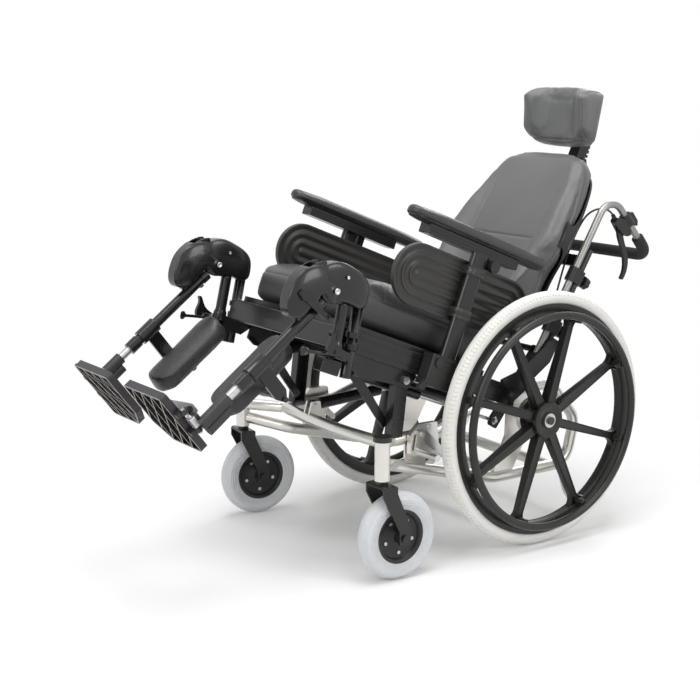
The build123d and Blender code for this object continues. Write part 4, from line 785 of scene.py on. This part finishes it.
def coordinates(obj):
    values = np.empty(len(obj.data.vertices) * 3)
    obj.data.vertices.foreach_get("co", values)
    return values.reshape(-1, 3)


def normals_of(obj):
    values = np.empty(len(obj.data.vertices) * 3)
    obj.data.vertices.foreach_get("normal", values)
    return values.reshape(-1, 3)


def press(obj, depth):
    """Pushes each vertex in along its normal by that depth."""
    obj.data.vertices.foreach_set("co", (coordinates(obj) - normals_of(obj) * depth[:, None]).ravel())
    obj.data.update()


def local(obj, matrix):
    """The vertices' places along a piece's own directions, in millimetres."""
    away = np.array(matrix.inverted())
    return (coordinates(obj) @ away[:3, :3].T + away[:3, 3]) * 1000


def groove(distance, width, depth):
    return depth * MM * np.exp(-(distance / width) ** 2)


def smooth_step(value, low, high):
    part = np.clip((value - low) / (high - low), 0, 1)
    return part * part * (3 - 2 * part)


def send_back(obj, matrix, points):
    """Puts vertices given along a piece's own directions, in millimetres, back in the mesh."""
    way = np.array(matrix)
    obj.data.vertices.foreach_set("co", (points / 1000 @ way[:3, :3].T + way[:3, 3]).ravel())
    obj.data.update()


def seat_pad():
    obj = soft_copy("seat_cushion", "seat_pad", 0.0055, shrink=0.002, cap=0.009, rounds=28)
    x, u, v = local(obj, SEAT).T
    # a welt runs round the cushion under its top edge, and one crosses behind the front roll
    press(obj, groove(v - 150, 3.0, 1.6) + groove(u + 112, 4.0, 2.0) * (v > 150))
    finish_piece(obj, "seat", SEAT_VINYL_PAINTED_SHADE)
    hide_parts("seat_cushion")


def back_pad():
    obj = soft_copy("back_cushion", "back_pad", 0.0055, shrink=0.003, cap=0.008, rounds=9)
    spots = local(obj, BACK)
    x, t, w = spots.T
    # the crown stands a little above the shell, and the cover is pulled in round a piped edge
    spots[:, 2] = w + 21 * smooth_step(w, 330, 570)
    send_back(obj, BACK, spots)
    x, t, w = spots.T
    face = normals_of(obj) @ np.array((BACK.to_3x3() @ Vector((0, -1, 0)))[:]) > 0.2
    seam_x = 112 + (w - 350) * 0.035
    upright = groove(np.abs(x) - seam_x, 3.0, 1.6) * (w > 330) * (w < 470)
    cross = groove(w - 332, 3.0, 2.2) * (np.abs(x) < seam_x)
    bolster = -7 * MM * np.exp(-((np.abs(x) - seam_x - 42) / 24) ** 2)
    bolster = bolster * smooth_step(w, 40, 130) * (1 - smooth_step(w, 400, 500))
    piping = (groove(t + 27, 2.6, 2.2) + groove(t + 41, 2.6, 2.2) - groove(t + 34, 3.0, 1.6)) * ~face
    press(obj, (upright + cross + bolster) * face + piping * (w > 60))
    finish_piece(obj, "back", VINYL)
    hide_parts("back_cushion")


def head_pad():
    obj = soft_copy("headrest_pad", "head_pad", 0.0045, shrink=0.002, cap=0.006, rounds=10)
    spots = local(obj, BACK)
    x, t, w = spots.T
    # the wings' corners are cut round, and the pad stands more upright than the back
    forward = np.clip((-t - 12) / 88, 0, 0.95)
    rise = w - HEAD_UP
    spots[:, 1] = t - 0.22 * rise * forward
    spots[:, 2] = HEAD_UP + rise * 0.93 * np.sqrt(1 - forward ** 3.2)
    send_back(obj, BACK, spots)
    x, t, w = spots.T
    wing = np.abs(x) - 104
    seam = groove(wing, 2.0, 1.8) * (t < -40)
    stitch = groove(wing - 6, 1.6, 0.9) * (t < -40) * (0.5 + 0.5 * np.sin(w * 1.1))
    lip = groove(w - 612, 2.4, 1.6)
    press(obj, seam + stitch + lip)
    turn = Matrix.Rotation(math.radians(16), 4, "X")
    pivot = Vector((0, AXLE.y + 0.35232, 0.964414))
    lift = Matrix.Translation((0, 0.015, 0.023))
    obj.data.transform(lift @ Matrix.Translation(pivot) @ turn @ Matrix.Translation(-pivot))
    finish_piece(obj, "headrest", HEAD_VINYL)
    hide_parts("headrest_pad")


def arm_and_calf_pads():
    for word, side in SIDES:
        arm = soft_copy("arm_pad_" + word, "arm_cover_" + word, 0.0045, shrink=0.0015, cap=0.004, rounds=7)
        x, u, v = local(arm, SEAT).T
        full = -4.4 * MM * smooth_step(v, 346, 356)
        press(arm, full + groove(v - 351, 1.8, 1.6))
        finish_piece(arm, "arm_" + word, PAD_SKIN)
        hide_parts("arm_pad_" + word)
        calf = soft_copy("calf_pad_" + word, "calf_cover_" + word, 0.005, shrink=0.002, cap=0.006, rounds=16)
        x, shin, down = local(calf, LEG).T
        press(calf, groove(shin - 84, 2.0, 1.2))
        finish_piece(calf, "calf_pad_" + word, PAD_SKIN)
        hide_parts("calf_pad_" + word)


# ---------------------------------------------------------------- moulded shells
def dome(part, side):
    """Swells a knee shell: full thickness in the middle of its side, thinner at its outline."""
    spots = local(part, LEG)
    x, a, b = spots.T
    away = np.zeros(len(x))
    for values in (a, b):
        away += ((values * 2 - values.max() - values.min()) / (values.max() - values.min())) ** 2
    middle = HANGER_X / MM
    core = 13
    across = side * x - middle
    over = np.maximum(np.abs(across) - core, 0)
    keep = np.sqrt(1 - 0.96 * np.clip(away, 0, 1))
    spots[:, 0] = side * (middle + np.sign(across) * (np.abs(across) - over * (1 - keep)))
    send_back(part, LEG, spots)


def moulded_copy(node, name, body, side, middle, reach, material):
    """A softer-edged copy of a CAD piece: the parts near one point are remeshed and rounded."""
    only(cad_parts[node])
    bpy.ops.object.duplicate()
    obj = bpy.context.object
    obj.name = name
    obj.parent = None
    obj.matrix_world = Matrix.Identity(4)
    edit(obj)
    bpy.ops.mesh.select_all(action="SELECT")
    bpy.ops.mesh.remove_doubles(threshold=1e-5)
    bpy.ops.mesh.separate(type="LOOSE")
    done(obj)
    parts = [part for part in bpy.context.selected_objects if part.type == "MESH"]
    if obj not in parts:
        parts.append(obj)
    for part in parts:
        near = np.linalg.norm(coordinates(part) - np.array(middle), axis=1)
        if near.min() > reach:
            continue
        only(part)
        remesh = part.modifiers.new("remesh", "REMESH")
        remesh.mode = "VOXEL"
        remesh.voxel_size = 0.0022
        smooth = part.modifiers.new("smooth", "SMOOTH")
        smooth.factor = 0.5
        smooth.iterations = 14
        apply_all(part)
        press(part, np.full(len(part.data.vertices), -0.0005))
        dome(part, side)
        only(part)
        bpy.ops.object.shade_smooth()
    made = joined(name, parts)
    finish_piece(made, body, material)
    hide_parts(node)
    return made


def knees():
    for word, side in SIDES:
        spot = LEG @ Vector((side * HANGER_X, 0, 0))
        moulded_copy("leg_tube_" + word, "leg_shell_" + word, "leg_" + word, side, spot, 0.03, GLOSS)
        moulded_copy("hanger_" + word, "hanger_shell_" + word, "hanger_" + word, side, spot, 0.07, GLOSS)


# ---------------------------------------------------------------- wheels
QUARTER = Matrix.Rotation(math.pi / 2, 4, "Y")
SPOKES = 8
SPOKE_TURN = 18


def outline_plate(name, points, low, high):
    """Draws an outline point by point in the XY plane and pulls it up into a plate."""
    nothing_selected()
    bpy.ops.mesh.primitive_plane_add(size=0.002)
    obj = bpy.context.object
    obj.name = name
    edit(obj)
    bpy.ops.mesh.select_all(action="SELECT")
    bpy.ops.mesh.merge(type="CENTER")
    x, y = points[0]
    bpy.ops.transform.translate(value=(x, y, low))
    for x2, y2 in points[1:] + [points[0]]:
        bpy.ops.mesh.extrude_vertices_move(TRANSFORM_OT_translate={"value": (x2 - x, y2 - y, 0)})
        x, y = x2, y2
    bpy.ops.mesh.select_all(action="SELECT")
    bpy.ops.mesh.remove_doubles(threshold=1e-6)
    bpy.ops.mesh.edge_face_add()
    bpy.ops.mesh.extrude_region_move(TRANSFORM_OT_translate={"value": (0, 0, high - low)})
    bpy.ops.mesh.select_all(action="SELECT")
    bpy.ops.mesh.normals_make_consistent(inside=False)
    return done(obj)


def rounded(obj, width, segments=2, angle=40):
    bevel = obj.modifiers.new("bevel", "BEVEL")
    bevel.width = width
    bevel.segments = segments
    bevel.limit_method = "ANGLE"
    bevel.angle_limit = math.radians(angle)
    return apply_all(obj)


def joined(name, pieces):
    nothing_selected()
    for piece in pieces:
        piece.select_set(True)
    bpy.context.view_layer.objects.active = pieces[0]
    bpy.ops.object.join()
    pieces[0].name = name
    return pieces[0]


def spoke():
    """One spoke: a shallow trough on both faces, flared out to the rim."""
    flare = [(0.226 + 0.024 * math.sin(a), 0.0325 - 0.024 * math.cos(a))
             for a in (math.radians(d) for d in range(0, 91, 15))]
    half = [(0.030, 0.0115)] + flare + [(0.254, 0.036)]
    obj = outline_plate("spoke", half + [(x, -y) for x, y in reversed(half)], -0.0095, 0.0095)
    edit(obj)
    select(obj, "VERT", lambda co, v: co.x < 0.04)
    bpy.ops.transform.resize(value=(1, 1, 1.5), center_override=(0, 0, 0))
    select(obj, "FACE", lambda co, normal: abs(normal.z) > 0.9)
    bpy.ops.mesh.inset(thickness=0.0032, depth=-0.0045)
    done(obj)
    return rounded(obj, 0.0011)


def rear_wheel():
    rim = turned_profile("rim", [
        (0.2500, -0.0075), (0.2522, -0.0092), (0.2500, -0.0115), (0.2508, -0.0136), (0.2590, -0.0166),
        (0.2700, -0.0170), (0.2768, -0.0166), (0.2770, -0.0147), (0.2734, -0.0117), (0.2734, 0.0117),
        (0.2770, 0.0147), (0.2768, 0.0166), (0.2700, 0.0170), (0.2590, 0.0166), (0.2508, 0.0136),
        (0.2500, 0.0115), (0.2522, 0.0092), (0.2500, 0.0075)], 128)
    hub = turned_profile("hub", [
        (0.0064, -0.0300), (0.0300, -0.0300), (0.0352, -0.0270), (0.0358, 0.0080), (0.0372, 0.0105),
        (0.0424, 0.0118), (0.0430, 0.0130), (0.0430, 0.0186), (0.0420, 0.0206), (0.0400, 0.0210),
        (0.0262, 0.0206), (0.0240, 0.0192), (0.0196, 0.0192), (0.0190, 0.0208), (0.0064, 0.0208)], 72)
    ring = [(0.2525 + 0.0095 * math.cos(a), 0.041 + 0.0095 * math.sin(a))
            for a in (math.tau * n / 16 for n in range(16))]
    handrim = turned_profile("handrim", ring, 128)
    tab = outline_plate("tab", [(0.238, -0.007), (0.262, -0.0085), (0.262, 0.0085), (0.238, 0.007)],
                        0.008, 0.036)
    tab = rounded(tab, 0.003, 3)
    arm = joined("arm", [spoke(), tab])
    arms = [copy_of(arm, "arm", Matrix.Rotation(math.tau * n / SPOKES, 4, "Z")) for n in range(1, SPOKES)]
    wheel = joined("wheel_left", [rim, hub, handrim, arm] + arms)
    wheel.data.transform(Matrix.Rotation(math.radians(-SPOKE_TURN), 4, "Z"))
    settle(wheel, Matrix.Translation((WHEEL_X, AXLE.y, AXLE.z)) @ QUARTER, 38)
    other = copy_of(wheel, "wheel_right", MIRROR)
    for word, piece in (("left", wheel), ("right", other)):
        finish_piece(piece, "rear_wheel_" + word, WHEEL_BLACK)
        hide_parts("rear_wheel_" + word)


def caster_wheels():
    side_wall = [(0.0610, 0.0170), (0.0640, 0.0196), (0.0652, 0.0196), (0.0660, 0.0188), (0.0690, 0.0212),
                 (0.0702, 0.0212), (0.0710, 0.0203), (0.0742, 0.0228), (0.0754, 0.0228), (0.0762, 0.0219),
                 (0.0796, 0.0238), (0.0812, 0.0239), (0.0820, 0.0230), (0.0850, 0.0236)]
    tread = [(0.0895, 0.0208), (0.0925, 0.0182), (0.0932, 0.0168), (0.0922, 0.0160), (0.0936, 0.0150),
             (0.0966, 0.0118), (0.0976, 0.0102), (0.0965, 0.0094), (0.0978, 0.0084), (0.0997, 0.0030)]
    half = side_wall + tread
    tyre = turned_profile("caster_tyre_left", half + [(r, -z) for r, z in reversed(half)], 96)
    half = [(0.0053, 0.0285), (0.0130, 0.0285), (0.0145, 0.0270), (0.0158, 0.0130), (0.0180, 0.0112),
            (0.0330, 0.0086), (0.0460, 0.0080), (0.0500, 0.0092), (0.0530, 0.0150), (0.0560, 0.0176),
            (0.0612, 0.0180)]
    rim = turned_profile("caster_rim_left", half + [(r, -z) for r, z in reversed(half)], 96)
    bolt = bolt_head("rim_bolt", 0.0042, 0.0030)
    bolts = [copy_of(bolt, "rim_bolt", Matrix.Rotation(math.tau * n / 5, 4, "Z")
                     @ Matrix.Translation((0.038, 0, 0.0082))) for n in range(5)]
    bolts += [copy_of(bolt, "rim_bolt", Matrix.Rotation(math.tau * n / 5, 4, "Z")
                      @ Matrix.Rotation(math.pi, 4, "X") @ Matrix.Translation((0.038, 0, 0.0082)))
              for n in range(5)]
    bolts = joined("caster_bolts_left", bolts)
    bpy.data.objects.remove(bolt)
    for piece, material, place in ((tyre, CASTER_RUBBER, "grey_rubber"), (rim, MOULDED, "black_plastic"),
                                   (bolts, ZINC, "bright_steel")):
        settle(piece, None, 38)
        other = copy_of(piece, piece.name.replace("left", "right"))
        for word, side in SIDES:
            one = piece if side > 0 else other
            one.data.transform(caster_axle(side) @ QUARTER)
            finish_piece(one, "caster_wheel_" + word, material)
            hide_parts("caster_wheel_" + word)


def bolt_head(name, radius, height):
    """A round screw head with a hexagon socket, standing on the XY plane."""
    nothing_selected()
    bpy.ops.mesh.primitive_cylinder_add(vertices=24, radius=radius, depth=height, location=(0, 0, height / 2))
    obj = bpy.context.object
    obj.name = name
    edit(obj)
    select(obj, "FACE", lambda co, normal: normal.z > 0.9)
    bpy.ops.mesh.inset(thickness=radius * 0.5, depth=0)
    bpy.ops.mesh.inset(thickness=radius * 0.04, depth=-height * 0.6)
    done(obj)
    rounded(obj, radius * 0.16, 2, 50)
    return settle(obj, None, 40)


def knee_bolts():
    """Bright screws at the knees' pivots, on both faces, with a smaller one up each rear shell."""
    big = bolt_head("knee_screw", 0.0068, 0.0034)
    small = bolt_head("shell_screw", 0.0036, 0.0022)
    for word, side in SIDES:
        for face in (1, -1):
            x = side * HANGER_X + face * KNEE_HALF
            way = QUARTER if face > 0 else Matrix.Rotation(-math.pi / 2, 4, "Y")
            screw = copy_of(big, "knee_screw_%s_%s" % (word, "out" if face == side else "in"),
                            LEG @ Matrix.Translation((x + face * 0.003, 0, 0)) @ way)
            finish_piece(screw, "leg_" + word, ZINC)
            screw = copy_of(small, "shell_screw_%s_%s" % (word, "out" if face == side else "in"),
                            HANGER @ Matrix.Translation((x, -0.058, 0.176)) @ way)
            finish_piece(screw, "hanger_" + word, ZINC)
    bpy.data.objects.remove(big)
    bpy.data.objects.remove(small)


brake_cables()
seat_pad()
back_pad()
head_pad()
arm_and_calf_pads()
rear_wheel()
caster_wheels()
knees()
knee_bolts()
